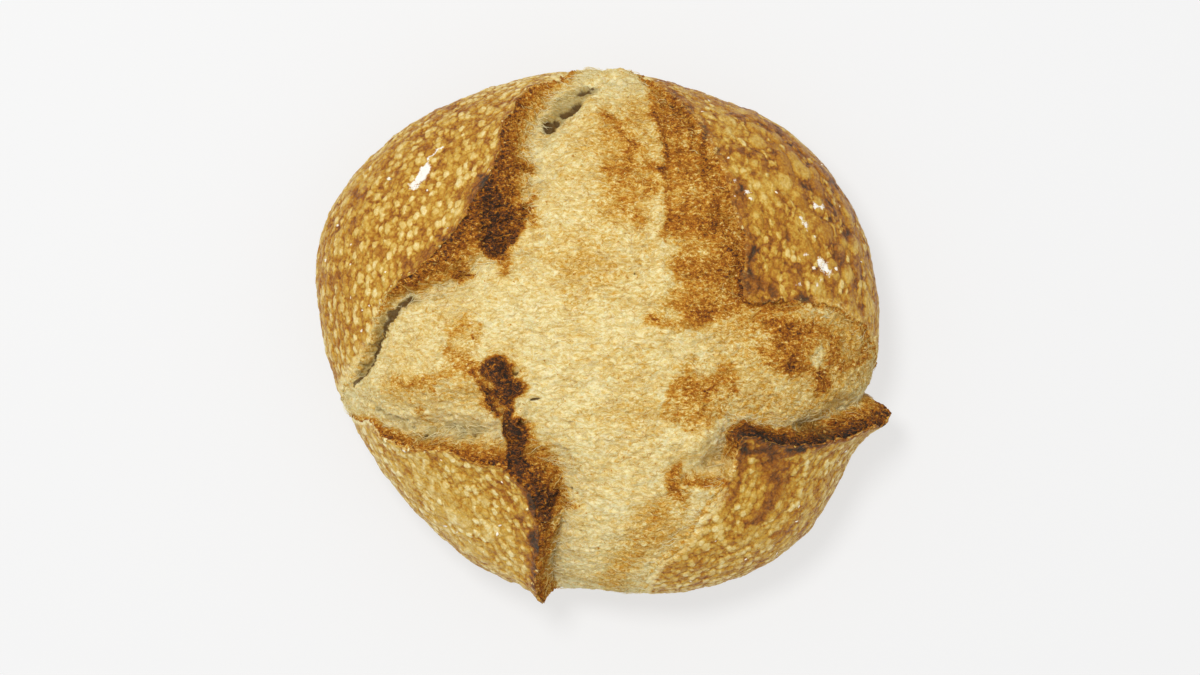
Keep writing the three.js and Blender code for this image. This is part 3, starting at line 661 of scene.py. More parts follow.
# ---- node trees ----------------------------------------------------------------------------------
class Net:
    """Adds nodes to a tree. An input given as a socket is linked, and any other value is set."""

    def __init__(self, tree):
        self.tree = tree

    def add(self, kind, inputs=None, **settings):
        node = self.tree.nodes.new(kind)
        for name, value in settings.items():
            setattr(node, name, value)
        for key, value in (inputs or {}).items():
            socket = node.inputs[key]
            if isinstance(value, bpy.types.NodeSocket):
                self.tree.links.new(value, socket)
            else:
                socket.default_value = value
        return node

    def math(self, operation, a, b=0.0, clamp=False):
        return self.add("ShaderNodeMath", {0: a, 1: b}, operation=operation, use_clamp=clamp).outputs[0]

    def plus(self, *values):
        total = values[0]
        for value in values[1:]:
            total = self.math("ADD", total, value)
        return total

    def times(self, *values):
        product = values[0]
        for value in values[1:]:
            product = self.math("MULTIPLY", product, value)
        return product

    def vector(self, operation, a, b=(0, 0, 0)):
        return self.add("ShaderNodeVectorMath", {0: a, 1: b}, operation=operation).outputs[0]

    def scaled(self, vector, factor):
        return self.add("ShaderNodeVectorMath", {0: vector, "Scale": factor}, operation="SCALE").outputs[0]

    def remap(self, value, low, high, to_low=0.0, to_high=1.0, kind="SMOOTHSTEP"):
        inputs = {"Value": value, "From Min": low, "From Max": high, "To Min": to_low, "To Max": to_high}
        return self.add("ShaderNodeMapRange", inputs, interpolation_type=kind).outputs[0]

    def noise(self, vector, scale, detail=2.0, rough=0.5, output=0):
        inputs = {"Vector": vector, "Scale": scale, "Detail": detail, "Roughness": rough}
        return self.add("ShaderNodeTexNoise", inputs).outputs[output]

    def swing(self, vector, scale, reach, detail=2.0, rough=0.5):
        """Noise between about -reach and reach."""
        return self.remap(self.noise(vector, scale, detail, rough), 0.25, 0.75, -reach, reach, "LINEAR")

    def blend(self, share, a, b, colour=False):
        if colour:
            return self.add("ShaderNodeMix", {0: share, 6: a, 7: b}, data_type="RGBA").outputs[2]
        return self.add("ShaderNodeMix", {0: share, 2: a, 3: b}, data_type="FLOAT").outputs[0]

    def ramp(self, value, tones):
        node = self.add("ShaderNodeValToRGB", {0: value})
        elements = node.color_ramp.elements
        while len(elements) < len(tones):
            elements.new(0.5)
        for element, (at, rgb) in zip(elements, tones):
            element.position = at
            element.color = linear(rgb)
        return node.outputs[0]

    def trait(self, name, kind="FLOAT"):
        """A named trait of the surface, in a shader or in a Geometry Nodes tree."""
        if self.tree.type == "GEOMETRY":
            return self.add("GeometryNodeInputNamedAttribute", {"Name": name}, data_type=kind).outputs[0]
        node = self.add("ShaderNodeAttribute", attribute_name=name)
        return node.outputs["Vector" if kind == "FLOAT_VECTOR" else "Fac"]

    def keep(self, geometry, name, value, kind="FLOAT"):
        """The geometry with a named trait stored on its points."""
        inputs = {"Geometry": geometry, "Name": name, "Value": value}
        node = self.add("GeometryNodeStoreNamedAttribute", inputs, data_type=kind, domain="POINT")
        return node.outputs[0]

    def random(self, low, high, seed):
        inputs = {2: low, 3: high, "Seed": seed}
        return self.add("FunctionNodeRandomValue", inputs, data_type="FLOAT").outputs[1]

    def drift(self, place, scale):
        """Soft noise in three directions, each between about -0.5 and 0.5."""
        return self.vector("SUBTRACT", self.noise(place, scale, 1.0, output=1), (0.5, 0.5, 0.5))

    def position(self):
        return self.add("GeometryNodeInputPosition").outputs[0]

    def shifted(self, geometry, offset):
        return self.add("GeometryNodeSetPosition", {"Geometry": geometry, "Offset": offset}).outputs[0]

    def nearest(self, geometry, value, spot, kind):
        """A value of the surface at its point nearest to the spot."""
        inputs = {"Mesh": geometry, "Value": value, "Sample Position": spot}
        return self.add("GeometryNodeSampleNearestSurface", inputs, data_type=kind).outputs[0]

    def joined(self, x, y, z):
        return self.add("ShaderNodeCombineXYZ", {0: x, 1: y, 2: z}).outputs[0]


def warped(net, place, scale, reach):
    """The place, in millimetres, moved about by soft noise."""
    return net.vector("ADD", place, net.scaled(net.drift(place, scale), reach))


def bubbles(net, place, size):
    """Soft, rounded blisters of about that size: their height from 0 to 1, and each one's own number."""
    inputs = {"Vector": place, "Scale": 1 / size, "Smoothness": 0.22}
    cell = net.add("ShaderNodeTexVoronoi", inputs, feature="SMOOTH_F1")
    own = net.add("ShaderNodeSeparateXYZ", {0: cell.outputs["Color"]}).outputs
    return net.remap(cell.outputs["Distance"], 0.72, 0.36), own[0]


def blister_pattern(net, place, large):
    """Crust blisters over `place` in millimetres: height, each one's tone, and the share of wide ones."""
    place = net.vector("MULTIPLY", warped(net, place, 0.45, 1.6), (1.15, 0.85, 1.25))
    small, small_tone = bubbles(net, place, SMALL_BLISTER)
    wide, wide_tone = bubbles(net, warped(net, place, 0.12, 4.0), LARGE_BLISTER)
    pebbles, _ = bubbles(net, net.vector("ADD", place, (7.0, 3.0, 5.0)), PEBBLE)
    small = net.math("MAXIMUM", small, net.times(pebbles, 0.55))
    share = net.times(large, net.remap(wide, 0.05, 0.30))
    return net.blend(share, small, wide), net.blend(share, small_tone, wide_tone), share


def web(net, place, grain, thickness, detail=2.0):
    """Thin curly threads: 1 on a thread, 0 off it. The grain is the turns to a millimetre on each axis."""
    folds = net.noise(net.vector("MULTIPLY", place, grain), 1.0, detail, 0.55)
    off = net.math("ABSOLUTE", net.math("SUBTRACT", folds, 0.5))
    return net.remap(off, 0.0, thickness, 1.0, 0.0)


def fibre_pattern(net, place):
    """Bundles of torn crumb, drawn out along X: 0 in the gaps, 1 on the bundles."""
    wavy = warped(net, place, 0.12, 6.0)
    wide = web(net, wavy, (0.09, 0.26, 0.26), 0.08)
    narrow = web(net, wavy, (0.15, 0.42, 0.42), 0.06, 3.0)
    return net.math("MAXIMUM", wide, narrow)


def new_geometry_tree(name, inputs):
    """A Geometry Nodes tree with a mesh in, a mesh out and named inputs: its net and input sockets."""
    tree = bpy.data.node_groups.new(name, "GeometryNodeTree")
    tree.interface.new_socket(name="Geometry", in_out="INPUT", socket_type="NodeSocketGeometry")
    tree.interface.new_socket(name="Geometry", in_out="OUTPUT", socket_type="NodeSocketGeometry")
    for label, kind in inputs:
        tree.interface.new_socket(name=label, in_out="INPUT", socket_type=kind)
    net = Net(tree)
    return net, net.add("NodeGroupInput").outputs


def close_tree(net, geometry, material):
    realized = net.add("GeometryNodeRealizeInstances", {"Geometry": geometry}).outputs[0]
    finished = net.add("GeometryNodeSetMaterial", {"Geometry": realized, "Material": material}).outputs[0]
    net.add("NodeGroupOutput", {"Geometry": finished})


def grown(source, name, net, values):
    """What the tree makes out of the mesh `source`, as a plain object that rides on the loaf's body."""
    seed = bpy.data.objects.new(name + "_seed", source)
    bpy.context.scene.collection.objects.link(seed)
    modifier = seed.modifiers.new(name, "NODES")
    modifier.node_group = net.tree
    identifiers = {s.name: s.identifier for s in net.tree.interface.items_tree if s.in_out == "INPUT"}
    for label, value in values.items():
        modifier[identifiers[label]] = value
    depsgraph = bpy.context.evaluated_depsgraph_get()
    made = seed.evaluated_get(depsgraph)
    mesh = bpy.data.meshes.new_from_object(made, preserve_all_data_layers=True, depsgraph=depsgraph)
    bpy.data.objects.remove(seed)
    if not mesh.polygons:
        raise RuntimeError(f"the tree made no surface for {name}")
    mesh.name = name
    mesh.polygons.foreach_set("use_smooth", [True] * len(mesh.polygons))
    piece = bpy.data.objects.new(name, mesh)
    bpy.context.scene.collection.objects.link(piece)
    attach(piece, BODY)
    return piece


# ---- materials -----------------------------------------------------------------------------------
def new_material(name):
    material = bpy.data.materials.new(name)
    material.use_nodes = True
    material.node_tree.nodes.clear()
    return material, Net(material.node_tree)


def finish_material(net, inputs):
    shader = net.add("ShaderNodeBsdfPrincipled", {"Specular Tint": SHEEN_TONE, **inputs})
    net.add("ShaderNodeOutputMaterial", {"Surface": shader.outputs[0]})


def crumb_tone(net, place, baked):
    """Where torn crumb lies on the scale of crumb tones: cream under golden threads, grainy where baked."""
    wavy = warped(net, place, 0.18, 6.0)
    fine = net.swing(net.vector("MULTIPLY", wavy, (0.16, 0.75, 0.75)), 1.0, 1.0, 4.0, 0.7)
    grain = net.swing(net.vector("MULTIPLY", place, (0.6, 0.85, 0.85)), 1.0, 1.0, 4.0, 0.8)
    clouds = net.plus(net.swing(place, 0.3, 0.08, 4.0, 0.75), net.swing(place, 0.055, 0.06, 2.0))
    wide = web(net, wavy, (0.15, 0.5, 0.5), 0.05)
    narrow = web(net, place, (0.35, 0.62, 0.62), 0.03)
    golden = net.math("MAXIMUM", wide, narrow)
    wide = web(net, net.vector("ADD", wavy, (31.0, 17.0, 5.0)), (0.13, 0.45, 0.45), 0.06)
    narrow = web(net, net.vector("ADD", place, (11.0, 7.0, 3.0)), (0.3, 0.5, 0.5), 0.04)
    pale = net.math("MAXIMUM", wide, narrow)
    speck = net.times(net.remap(net.noise(place, 0.75, 2.0, 0.5), 0.69, 0.74), 0.28)
    roughened = net.remap(baked, 0.0, 0.6, 0.05, 0.58, "LINEAR")
    value = net.plus(baked, CRUMB_BASE, clouds, net.times(fine, 0.12), net.times(grain, roughened),
                     net.times(golden, 0.11), speck)
    bleached = net.times(pale, net.remap(baked, 0.0, 0.7, 0.09, 0.26, "LINEAR"))
    return net.math("SUBTRACT", value, bleached), golden, grain


def crumb_material():
    material, net = new_material("torn_crumb")
    place = net.scaled(net.trait("rest", "FLOAT_VECTOR"), 1 / MM)
    value, golden, grain = crumb_tone(net, place, net.trait("baked"))
    colour = net.ramp(value, CRUMB_TONES)
    uneven = net.times(grain, 0.15)
    # Grey crumb in the hollows: partly moist crumb, partly painted shade of the hollows.
    damp_and_shade = net.remap(net.plus(net.trait("moist_shade"), uneven, net.swing(place, 0.25, 0.25)), 0.25, 1.2)
    colour = net.blend(net.times(damp_and_shade, 0.72), colour, linear(MOIST_AND_SHADED_TONE), colour=True)
    # Painted shade: holes and the slit turn to the dark shade tone.
    dark = net.math("MAXIMUM", net.trait("hole"), net.trait("shade"))
    pitted = net.remap(net.plus(dark, uneven), 0.3, 0.6)
    colour = net.blend(net.times(pitted, 0.85), colour, linear(HOLE_SHADE_TONE), colour=True)
    height = net.plus(net.times(golden, 0.6), net.times(grain, 0.5))
    bump = net.add("ShaderNodeBump", {"Strength": 0.7, "Distance": 0.5 * MM, "Height": height}).outputs[0]
    finish_material(net, {
        "Base Color": colour, "Roughness": 0.8, "Normal": bump, "Specular IOR Level": 0.2,
        "Subsurface Weight": 0.15, "Subsurface Radius": (1.0, 0.55, 0.25), "Subsurface Scale": 2.0 * MM,
    })
    return material


def crust_material():
    """Blistered crust: pale caps over a brown net, brown patches, and torn crumb colour on the lip."""
    material, net = new_material("blistered_crust")
    place = net.scaled(net.trait("rest", "FLOAT_VECTOR"), 1 / MM)
    baked = net.trait("baked")
    cap, tone, wide = blister_pattern(net, place, net.trait("blistered"))
    fine = net.swing(place, 0.9, 1.0, 4.0, 0.75)
    patch = net.remap(net.noise(warped(net, place, 0.2, 5.0), 0.13, 4.0, 0.7), 0.46, 0.64)
    calm = net.remap(baked, 0.12, 0.5, 1.0, 0.35)
    own_tone = net.remap(tone, 0.2, 0.8, 0.15, 0.52, "LINEAR")
    pale = net.times(cap, calm, own_tone, net.remap(wide, 0.0, 1.0, 1.0, 0.74, "LINEAR"))
    patchiness = net.remap(net.trait("blistered"), 0.0, 1.0, 0.15, 0.27, "LINEAR")
    value = net.plus(net.times(baked, 0.62), CRUST_BASE, net.times(patch, patchiness))
    value = net.plus(value, net.times(fine, 0.18))
    value = net.math("SUBTRACT", value, net.times(pale, 0.9))
    colour = net.ramp(value, CRUST_TONES)
    torn, _, grain = crumb_tone(net, place, baked)
    thinned = net.plus(net.times(net.trait("rim"), -0.25), net.times(net.trait("faded"), -0.8))
    skin = net.remap(net.plus(net.trait("skin"), net.times(grain, 0.2), thinned), 0.35, 0.75)
    colour = net.blend(skin, net.ramp(torn, CRUMB_TONES), colour, colour=True)
    streaks = net.swing(place, 0.5, 0.6, 5.0, 0.85)
    dusted = net.remap(net.plus(net.trait("flour"), streaks), 0.62, 0.88)
    colour = net.blend(dusted, colour, linear(FLOUR_TONE), colour=True)
    height = net.plus(cap, net.times(fine, 0.4))
    bump = net.add("ShaderNodeBump", {"Strength": 0.7, "Distance": 0.45 * MM, "Height": height}).outputs[0]
    dull = net.math("MAXIMUM", dusted, net.math("SUBTRACT", 1.0, skin))
    gloss = net.blend(dull, net.remap(fine, -1.0, 1.0, 0.28, 0.50, "LINEAR"), 0.8)
    finish_material(net, {
        "Base Color": colour, "Roughness": gloss, "Normal": bump, "Specular IOR Level": 0.45,
        "Subsurface Weight": 0.08, "Subsurface Radius": (1.0, 0.5, 0.2), "Subsurface Scale": 1.5 * MM,
    })
    return material


def scrap_material(name, base, tones, roughness):
    """Loose bits: coloured by how much the crumb below them baked and by each one's own tint."""
    material, net = new_material(name)
    value = net.plus(net.trait("baked"), base, net.trait("tint"))
    colour = net.ramp(value, tones)
    finish_material(net, {"Base Color": colour, "Roughness": roughness, "Specular IOR Level": 0.3})
    return material


# ---- sizes and colours that a user would change --------------------------------------------------
def number_setting(name, description, default, **limits):
    return bpy.props.FloatProperty(name=name, description=description, default=default, **limits)


def length_setting(name, description, default, **limits):
    return number_setting(name, description, default, unit="LENGTH", **limits)


class LoafSettings(bpy.types.PropertyGroup):
    crust_cell: number_setting(
        "Crust cell", "Cell size of the crust's surface, in millimetres", 0.51, min=0.5)
    crumb_cell: number_setting(
        "Crumb cell", "Cell size of the crumb's surface, in millimetres", 0.64, min=0.62)
    tear: number_setting("Tear", "How far the torn edges wander, in millimetres", 1.1, min=0.0)
    blister_height: length_setting("Blister height", "Height of the crust's blisters", 0.0006, precision=5)
    fray_height: length_setting("Crumb fray", "Depth of the torn crumb's strands", 0.0008, precision=5)


class ScrapSettings(bpy.types.PropertyGroup):
    strand_length: length_setting("Strand length", "Length of a gluten strand", 0.0042, precision=4)
    strand_radius: length_setting(
        "Strand radius", "Half thickness of a gluten strand", 0.00014, precision=5)
    strand_count: number_setting(
        "Strands", "Strands to a square metre of crumb, in each set", 200000.0, min=0.0)
    flake_size: length_setting("Flake size", "Half width of a flake at the torn edges", 0.0009, precision=5)
    flour_size: length_setting("Flour clump", "Half width of a clump of flour", 0.00022, precision=5)


class StageSettings(bpy.types.PropertyGroup):
    floor_size: length_setting("Floor size", "Side of the pale floor", 8.0)
    floor_colour: bpy.props.FloatVectorProperty(
        name="Floor colour", description="Colour of the floor",
        default=(0.25, 0.25, 0.25), subtype="COLOR", size=3)
    floor_glow: number_setting("Floor glow", "Light that the floor gives by itself", 0.62, min=0.0)
    ambient: number_setting("Ambient light", "Brightness of the surrounding white", 0.70, min=0.0)
    key_power: number_setting("Key light", "Power of the soft light above", 9.0, min=0.0, unit="POWER")


# ---- crust ---------------------------------------------------------------------------------------
def arc_box(flap):
    """Corners of the part of the flat map that the flap can cover."""
    first, last = np.unwrap([math.atan2(y, x) for x, y in flap.crest[[0, -1]]])
    turn = np.linspace(first, last, 30)
    reach = np.vstack([flap.crest, SHEET_END * np.stack([np.cos(turn), np.sin(turn)], 1)])
    return reach.min(0) - 4, reach.max(0) + 4


def crust_mesh(flap, settings, shift):
    """The closed solid of one flap before its blisters rise."""
    def depth_at(points):
        edge = flap.depth(frayed(points, settings.tear)) + OVERHANG
        return np.minimum(edge, SHEET_END - np.hypot(*points.T))

    points, faces = cut_sheet(depth_at, *arc_box(flap), settings.crust_cell)
    place, normal, traits = crust_surface(flap, points, settings.tear)
    apex = np.array([*(WEDGE_REACH * flap.outward), WEDGE_LEVEL])
    surface = (place + shift, normal, traits)
    return closed_solid("crust_" + flap.name, surface, faces, LIP_DEPTHS, apex + shift)


def crumb_mesh(settings, shift):
    """The closed solid of the torn crumb between the flaps, before its strands rise."""
    def depth_at(points):
        torn = frayed(points, settings.tear)
        edge = np.max([flap.depth(torn) for flap in FLAPS], axis=0)
        return np.minimum(TUCK - edge, SHEET_END - np.hypot(*points.T))

    corner = np.array([FLAT_RADIUS, FLAT_RADIUS])
    points, faces = cut_sheet(depth_at, -corner, corner, settings.crumb_cell)
    place, normal, traits = crumb_surface(points, settings.tear)
    apex = np.array([0, 0, WEDGE_LEVEL])
    return closed_solid("crumb", (place + shift, normal, traits), faces, CRUMB_LIP, apex + shift)


def form_shift():
    """What moves the form's own middle over the middle of the solid's box."""
    low, high = (np.array(corner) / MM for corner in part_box(NODE))
    around = np.linspace(0, 2 * math.pi, 721)
    circle = np.stack([np.cos(around), np.sin(around)], 1)
    rings = np.vstack([r * circle for r in np.linspace(0.55, 0.9, 36) * FLAT_RADIUS])
    corners = []
    for flap in FLAPS:
        points = np.vstack([flap.crest, rings[flap.depth(rings) > 0]])
        place = crust_surface(flap, points, 0.0)[0]
        corners += [place.min(0), place.max(0)]
    middle = (np.min(corners, 0) + np.max(corners, 0)) / 2
    return np.array([*((low + high) / 2 - middle)[:2], 0.0])


def relief_tree(name, material, push_of):
    """A tree that keeps the place at rest and pushes the surface out along its normals."""
    net, given = new_geometry_tree(name, [("Height", "NodeSocketFloat")])
    rest = net.position()
    kept = net.keep(given["Geometry"], "rest", rest, "FLOAT_VECTOR")
    push = net.times(push_of(net, net.scaled(rest, 1 / MM)), given["Height"], net.trait("relief"))
    normal = net.add("GeometryNodeInputNormal").outputs[0]
    close_tree(net, net.shifted(kept, net.scaled(normal, push)), material)
    return net


def crust_push(net, place):
    cap, _, wide = blister_pattern(net, place, net.trait("blistered"))
    risen = net.times(net.math("SUBTRACT", cap, 0.45), net.remap(wide, 0.0, 1.0, 1.0, 1.6, "LINEAR"))
    burnt = net.remap(net.trait("baked"), 0.35, 0.8, 0.15, 1.0)
    charred = net.times(net.swing(place, 0.45, 1.0, 3.0, 0.6), burnt)
    return net.plus(risen, charred)


def crumb_push(net, place):
    fibres = fibre_pattern(net, place)
    clumps = net.swing(net.vector("MULTIPLY", place, (0.22, 0.42, 0.42)), 1.0, 0.9, 3.0, 0.6)
    steep = net.remap(net.trait("face"), 0.0, 0.6, 1.0, 1.7, "LINEAR")
    torn = net.times(net.plus(clumps, net.times(fibres, 0.8)), steep)
    charred = net.times(net.swing(place, 0.40, 1.3, 3.0, 0.6), net.remap(net.trait("baked"), 0.35, 0.8))
    return net.plus(torn, charred, net.times(net.trait("hole"), -4.5))


class LOAF_OT_crust(bpy.types.Operator):
    """Makes the four flaps of blistered crust"""
    bl_idname = "loaf.crust"
    bl_label = "Raise the crust"

    def execute(self, context):
        settings = context.scene.loaf_settings
        shift = form_shift()
        net = relief_tree("crust_relief", crust_material(), crust_push)
        for flap in FLAPS:
            sheet = crust_mesh(flap, settings, shift)
            grown(sheet, "crust_" + flap.name, net, {"Height": settings.blister_height})
        return {"FINISHED"}


class LOAF_OT_crumb(bpy.types.Operator):
    """Makes the torn crumb between the flaps"""
    bl_idname = "loaf.crumb"
    bl_label = "Tear the crumb"

    def execute(self, context):
        settings = context.scene.loaf_settings
        net = relief_tree("crumb_relief", crumb_material(), crumb_push)
        sheet = crumb_mesh(settings, form_shift())
        piece = grown(sheet, "crumb_torn", net, {"Height": settings.fray_height})
        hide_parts(NODE)
        return {"FINISHED"}


class LOAF_OT_heart(bpy.types.Operator):
    """Makes the loaf's flat foot and the plain inside that the other pieces stand on"""
    bl_idname = "loaf.heart"
    bl_label = "Fill the loaf"

    def execute(self, context):
        flat = disc_grid(HEART_CELLS)
        share = np.hypot(*flat.T) / FLAT_RADIUS
        place, normal = body_at(flat)
        place -= normal * (HEART_SINK * (1 - smooth((share - 0.8) / 0.2)))[:, None]
        number = np.arange((HEART_CELLS + 1) ** 2).reshape(HEART_CELLS + 1, HEART_CELLS + 1)
        quads = grid_cells(number)
        rim = np.concatenate([number[:-1, 0], number[-1, :-1], number[:0:-1, -1], number[0, :0:-1]])
        place[rim, 2] = 0.0
        mesh = bpy.data.meshes.new("heart_plain")
        mesh.from_pydata(((place + form_shift()) * MM).tolist(), [], quads.tolist() + [rim[::-1].tolist()])
        mesh.update()
        for name, level in (("baked", HEART_BAKED), ("relief", 0.0)):
            levels = np.full(len(place), level, np.float32)
            mesh.attributes.new(name, "FLOAT", "POINT").data.foreach_set("value", levels)
        net = relief_tree("heart_relief", crumb_material(), crumb_push)
        grown(mesh, "loaf_heart", net, {"Height": 0.0})
        return {"FINISHED"}


def disc_grid(cells):
    """A square grid of corners laid over the flat map, its rim on the rim of the foot."""
    g = np.linspace(-1, 1, cells + 1)
    a, b = np.meshgrid(g, g, indexing="ij")
    wide = np.abs(a) > np.abs(b)
    reach = np.where(wide, a, b)
    with np.errstate(divide="ignore", invalid="ignore"):
        turn = np.where(wide, b / np.where(a == 0, 1, a), 2 - a / np.where(b == 0, 1, b)) * math.pi / 4
    turn = np.where((a == 0) & (b == 0), 0, turn)
    return FLAT_RADIUS * np.stack([reach * np.cos(turn), reach * np.sin(turn)], -1).reshape(-1, 2)


# ---- strands, flakes and flour -------------------------------------------------------------------
def scattered(net, given, wanted):
    """Points on the given surface, as dense as the trait-based share `wanted` says, and their normals."""
    points = net.add("GeometryNodeDistributePointsOnFaces", {
        "Mesh": given["Geometry"], "Density": net.times(wanted, given["Count"]), "Seed": given["Seed"]})
    return points.outputs["Points"], points.outputs["Normal"]


def laid(net, normal, along):
    """A turn that stands Z on the normal and points X as near as it can along the given way."""
    standing = net.add("FunctionNodeAlignRotationToVector", {"Vector": normal}, axis="Z").outputs[0]
    inputs = {"Rotation": standing, "Vector": along}
    return net.add("FunctionNodeAlignRotationToVector", inputs, axis="X", pivot_axis="Z").outputs[0]


def clear_of_holes(net):
    """1 on whole crumb, falling to 0 over holes and in the shaded slit."""
    dark = net.math("MAXIMUM", net.trait("hole"), net.trait("shade"))
    return net.remap(dark, 0.1, 0.5, 1.0, 0.0)


def crumb_cover(net):
    """Where strands lie on the open crumb: thick in places, thin over browned crumb, over moist crumb and
    painted shade in the hollows, and over pitted crumb.
    """
    spot = net.scaled(net.position(), 1 / MM)
    clumped = net.remap(net.noise(spot, 0.11, 3.0, 0.6), 0.40, 0.62, 0.15, 1.0)
    unbrowned = net.remap(net.trait("baked"), 0.15, 0.6, 1.0, 0.45)
    dry_unshaded = net.remap(net.trait("moist_shade"), 0.3, 0.9, 1.0, 0.4)
    return net.times(net.trait("open"), unbrowned, clear_of_holes(net), dry_unshaded, clumped)


def fringe_cover(net):
    """Where longer strands reach over the foot of a browned torn face."""
    return net.times(net.trait("open"), net.trait("fringe"), clear_of_holes(net))


def strand_tree(material, wanted_of):
    """Gluten strands: short wavy threads that lie along the torn crumb and arch off it a little."""
    net, given = new_geometry_tree("crumb_strands", [
        ("Length", "NodeSocketFloat"), ("Radius", "NodeSocketFloat"), ("Count", "NodeSocketFloat"),
        ("Lift", "NodeSocketFloat"), ("Spread", "NodeSocketFloat"), ("Tint", "NodeSocketFloat"),
        ("Seed", "NodeSocketInt")])
    points, normal = scattered(net, given, wanted_of(net))
    points = net.keep(points, "tint", net.random(-1.0, 1.0, 11))
    points = net.keep(points, "lift", net.random(0.0, 1.0, 12))
    place = net.scaled(net.position(), 1 / MM)
    swirl = net.plus(net.swing(place, 0.045, 0.45), net.times(net.random(-1.0, 1.0, 13), given["Spread"]))
    half = net.times(given["Length"], 0.5)
    line = net.add("GeometryNodeCurvePrimitiveLine", {
        "Start": net.joined(net.times(half, -1.0), 0.0, 0.0), "End": net.joined(half, 0.0, 0.0)})
    thread = net.add("GeometryNodeResampleCurve", {"Curve": line.outputs[0], "Count": 6}).outputs[0]
    placed = net.add("GeometryNodeInstanceOnPoints", {
        "Points": points, "Instance": thread, "Rotation": laid(net, normal, net.joined(1.0, swirl, 0.0)),
        "Scale": net.joined(net.random(0.45, 1.35, 14), 1.0, 1.0)}).outputs[0]
    curves = net.add("GeometryNodeRealizeInstances", {"Geometry": placed}).outputs[0]
    here = net.position()
    own = net.joined(0.0, 0.0, net.times(net.trait("tint"), 40.0))
    drift = net.drift(net.vector("ADD", net.scaled(here, 1 / MM), own), 0.55)
    curves = net.shifted(curves, net.scaled(drift, 5.5 * MM))
    here = net.position()
    inputs = {0: given["Geometry"], "Sample Position": here}
    ground = net.add("GeometryNodeProximity", inputs, target_element="FACES").outputs[0]
    facing = net.add("GeometryNodeInputNormal").outputs[0]
    up = net.nearest(given["Geometry"], facing, here, "FLOAT_VECTOR")
    along = net.add("GeometryNodeSplineParameter").outputs[0]
    arch = net.times(along, net.math("SUBTRACT", 1.0, along), 4.0)
    height = net.math("SUBTRACT", net.times(arch, net.trait("lift"), given["Lift"]), 0.05 * MM)
    laid_at = net.vector("ADD", ground, net.scaled(up, height))
    curves = net.add("GeometryNodeSetPosition", {"Geometry": curves, "Position": laid_at}).outputs[0]
    baked = net.nearest(given["Geometry"], net.trait("baked"), net.position(), "FLOAT")
    curves = net.keep(curves, "baked", baked)
    mottled = net.remap(baked, 0.0, 0.6, 1.0, 2.6, "LINEAR")
    curves = net.keep(curves, "tint", net.times(net.trait("tint"), given["Tint"], mottled))
    profile = net.add("GeometryNodeCurvePrimitiveCircle", {"Resolution": 3, "Radius": given["Radius"]})
    thinned = net.remap(net.trait("lift"), 0.0, 1.0, 1.3, 0.7, "LINEAR")
    tubes = net.add("GeometryNodeCurveToMesh", {
        "Curve": curves, "Profile Curve": profile.outputs[0], "Fill Caps": True,
        "Scale": net.times(net.remap(arch, 0.0, 0.6, 0.35, 1.0), thinned)}).outputs[0]
    close_tree(net, tubes, material)
    return net


def chip_tree(name, material, chip_of, wanted_of, flat, jitter):
    """Loose bits on a surface: copies of one small solid, turned, sized and dented at random."""
    net, given = new_geometry_tree(name, [
        ("Size", "NodeSocketFloat"), ("Count", "NodeSocketFloat"), ("Tint", "NodeSocketFloat"),
        ("Seed", "NodeSocketInt")])
    points, normal = scattered(net, given, wanted_of(net))
    points = net.keep(points, "tint", net.times(net.random(-1.0, 1.0, 21), given["Tint"]))
    spin = net.joined(net.random(-1.0, 1.0, 22), net.random(-1.0, 1.0, 23), net.random(-0.5, 0.5, 24))
    size = net.times(net.random(0.45, 1.35, 25), given["Size"])
    tip = net.joined(net.random(-1.0, 1.0, 26), net.random(-1.0, 1.0, 27), 0.0)
    tipped = net.vector("ADD", normal, net.scaled(tip, 0.7))
    width = net.times(size, net.random(0.5, 1.0, 28))
    placed = net.add("GeometryNodeInstanceOnPoints", {
        "Points": points, "Instance": chip_of(net), "Rotation": laid(net, tipped, spin),
        "Scale": net.joined(size, width, net.times(size, flat))}).outputs[0]
    real = net.add("GeometryNodeRealizeInstances", {"Geometry": placed}).outputs[0]
    dent = net.drift(net.scaled(net.position(), 1 / MM), 1.3)
    dented = net.shifted(real, net.scaled(dent, net.times(given["Size"], jitter)))
    close_tree(net, dented, material)
    return net


def ball(net):
    return net.add("GeometryNodeMeshIcoSphere", {"Radius": 1.0, "Subdivisions": 1}).outputs[0]


def scale_chip(net):
    inputs = {"Vertices": 5, "Radius Top": 0.55, "Radius Bottom": 1.0, "Depth": 1.0}
    return net.add("GeometryNodeMeshCone", inputs).outputs[0]


def on_torn_edges(net):
    return net.times(net.remap(net.trait("rim"), 0.35, 0.8), net.trait("skin"))


def on_pale_skin(net):
    return net.times(net.trait("skin"), net.remap(net.trait("baked"), 0.2, 0.5, 1.0, 0.3))


def on_browned_crumb(net):
    return net.times(net.remap(net.trait("baked"), 0.2, 0.6), net.trait("open"))


def on_floured_skin(net):
    return net.times(net.remap(net.trait("flour"), 0.3, 0.9), net.trait("skin"))


def joined_mesh(name, pieces):
    """One mesh that holds copies of the pieces' meshes, traits and all."""
    whole = bmesh.new()
    for piece in pieces:
        whole.from_mesh(piece.data)
    mesh = bpy.data.meshes.new(name)
    whole.to_mesh(mesh)
    whole.free()
    return mesh


def crust_source():
    return joined_mesh("crust_all", [bpy.data.objects["crust_" + flap.name] for flap in FLAPS])


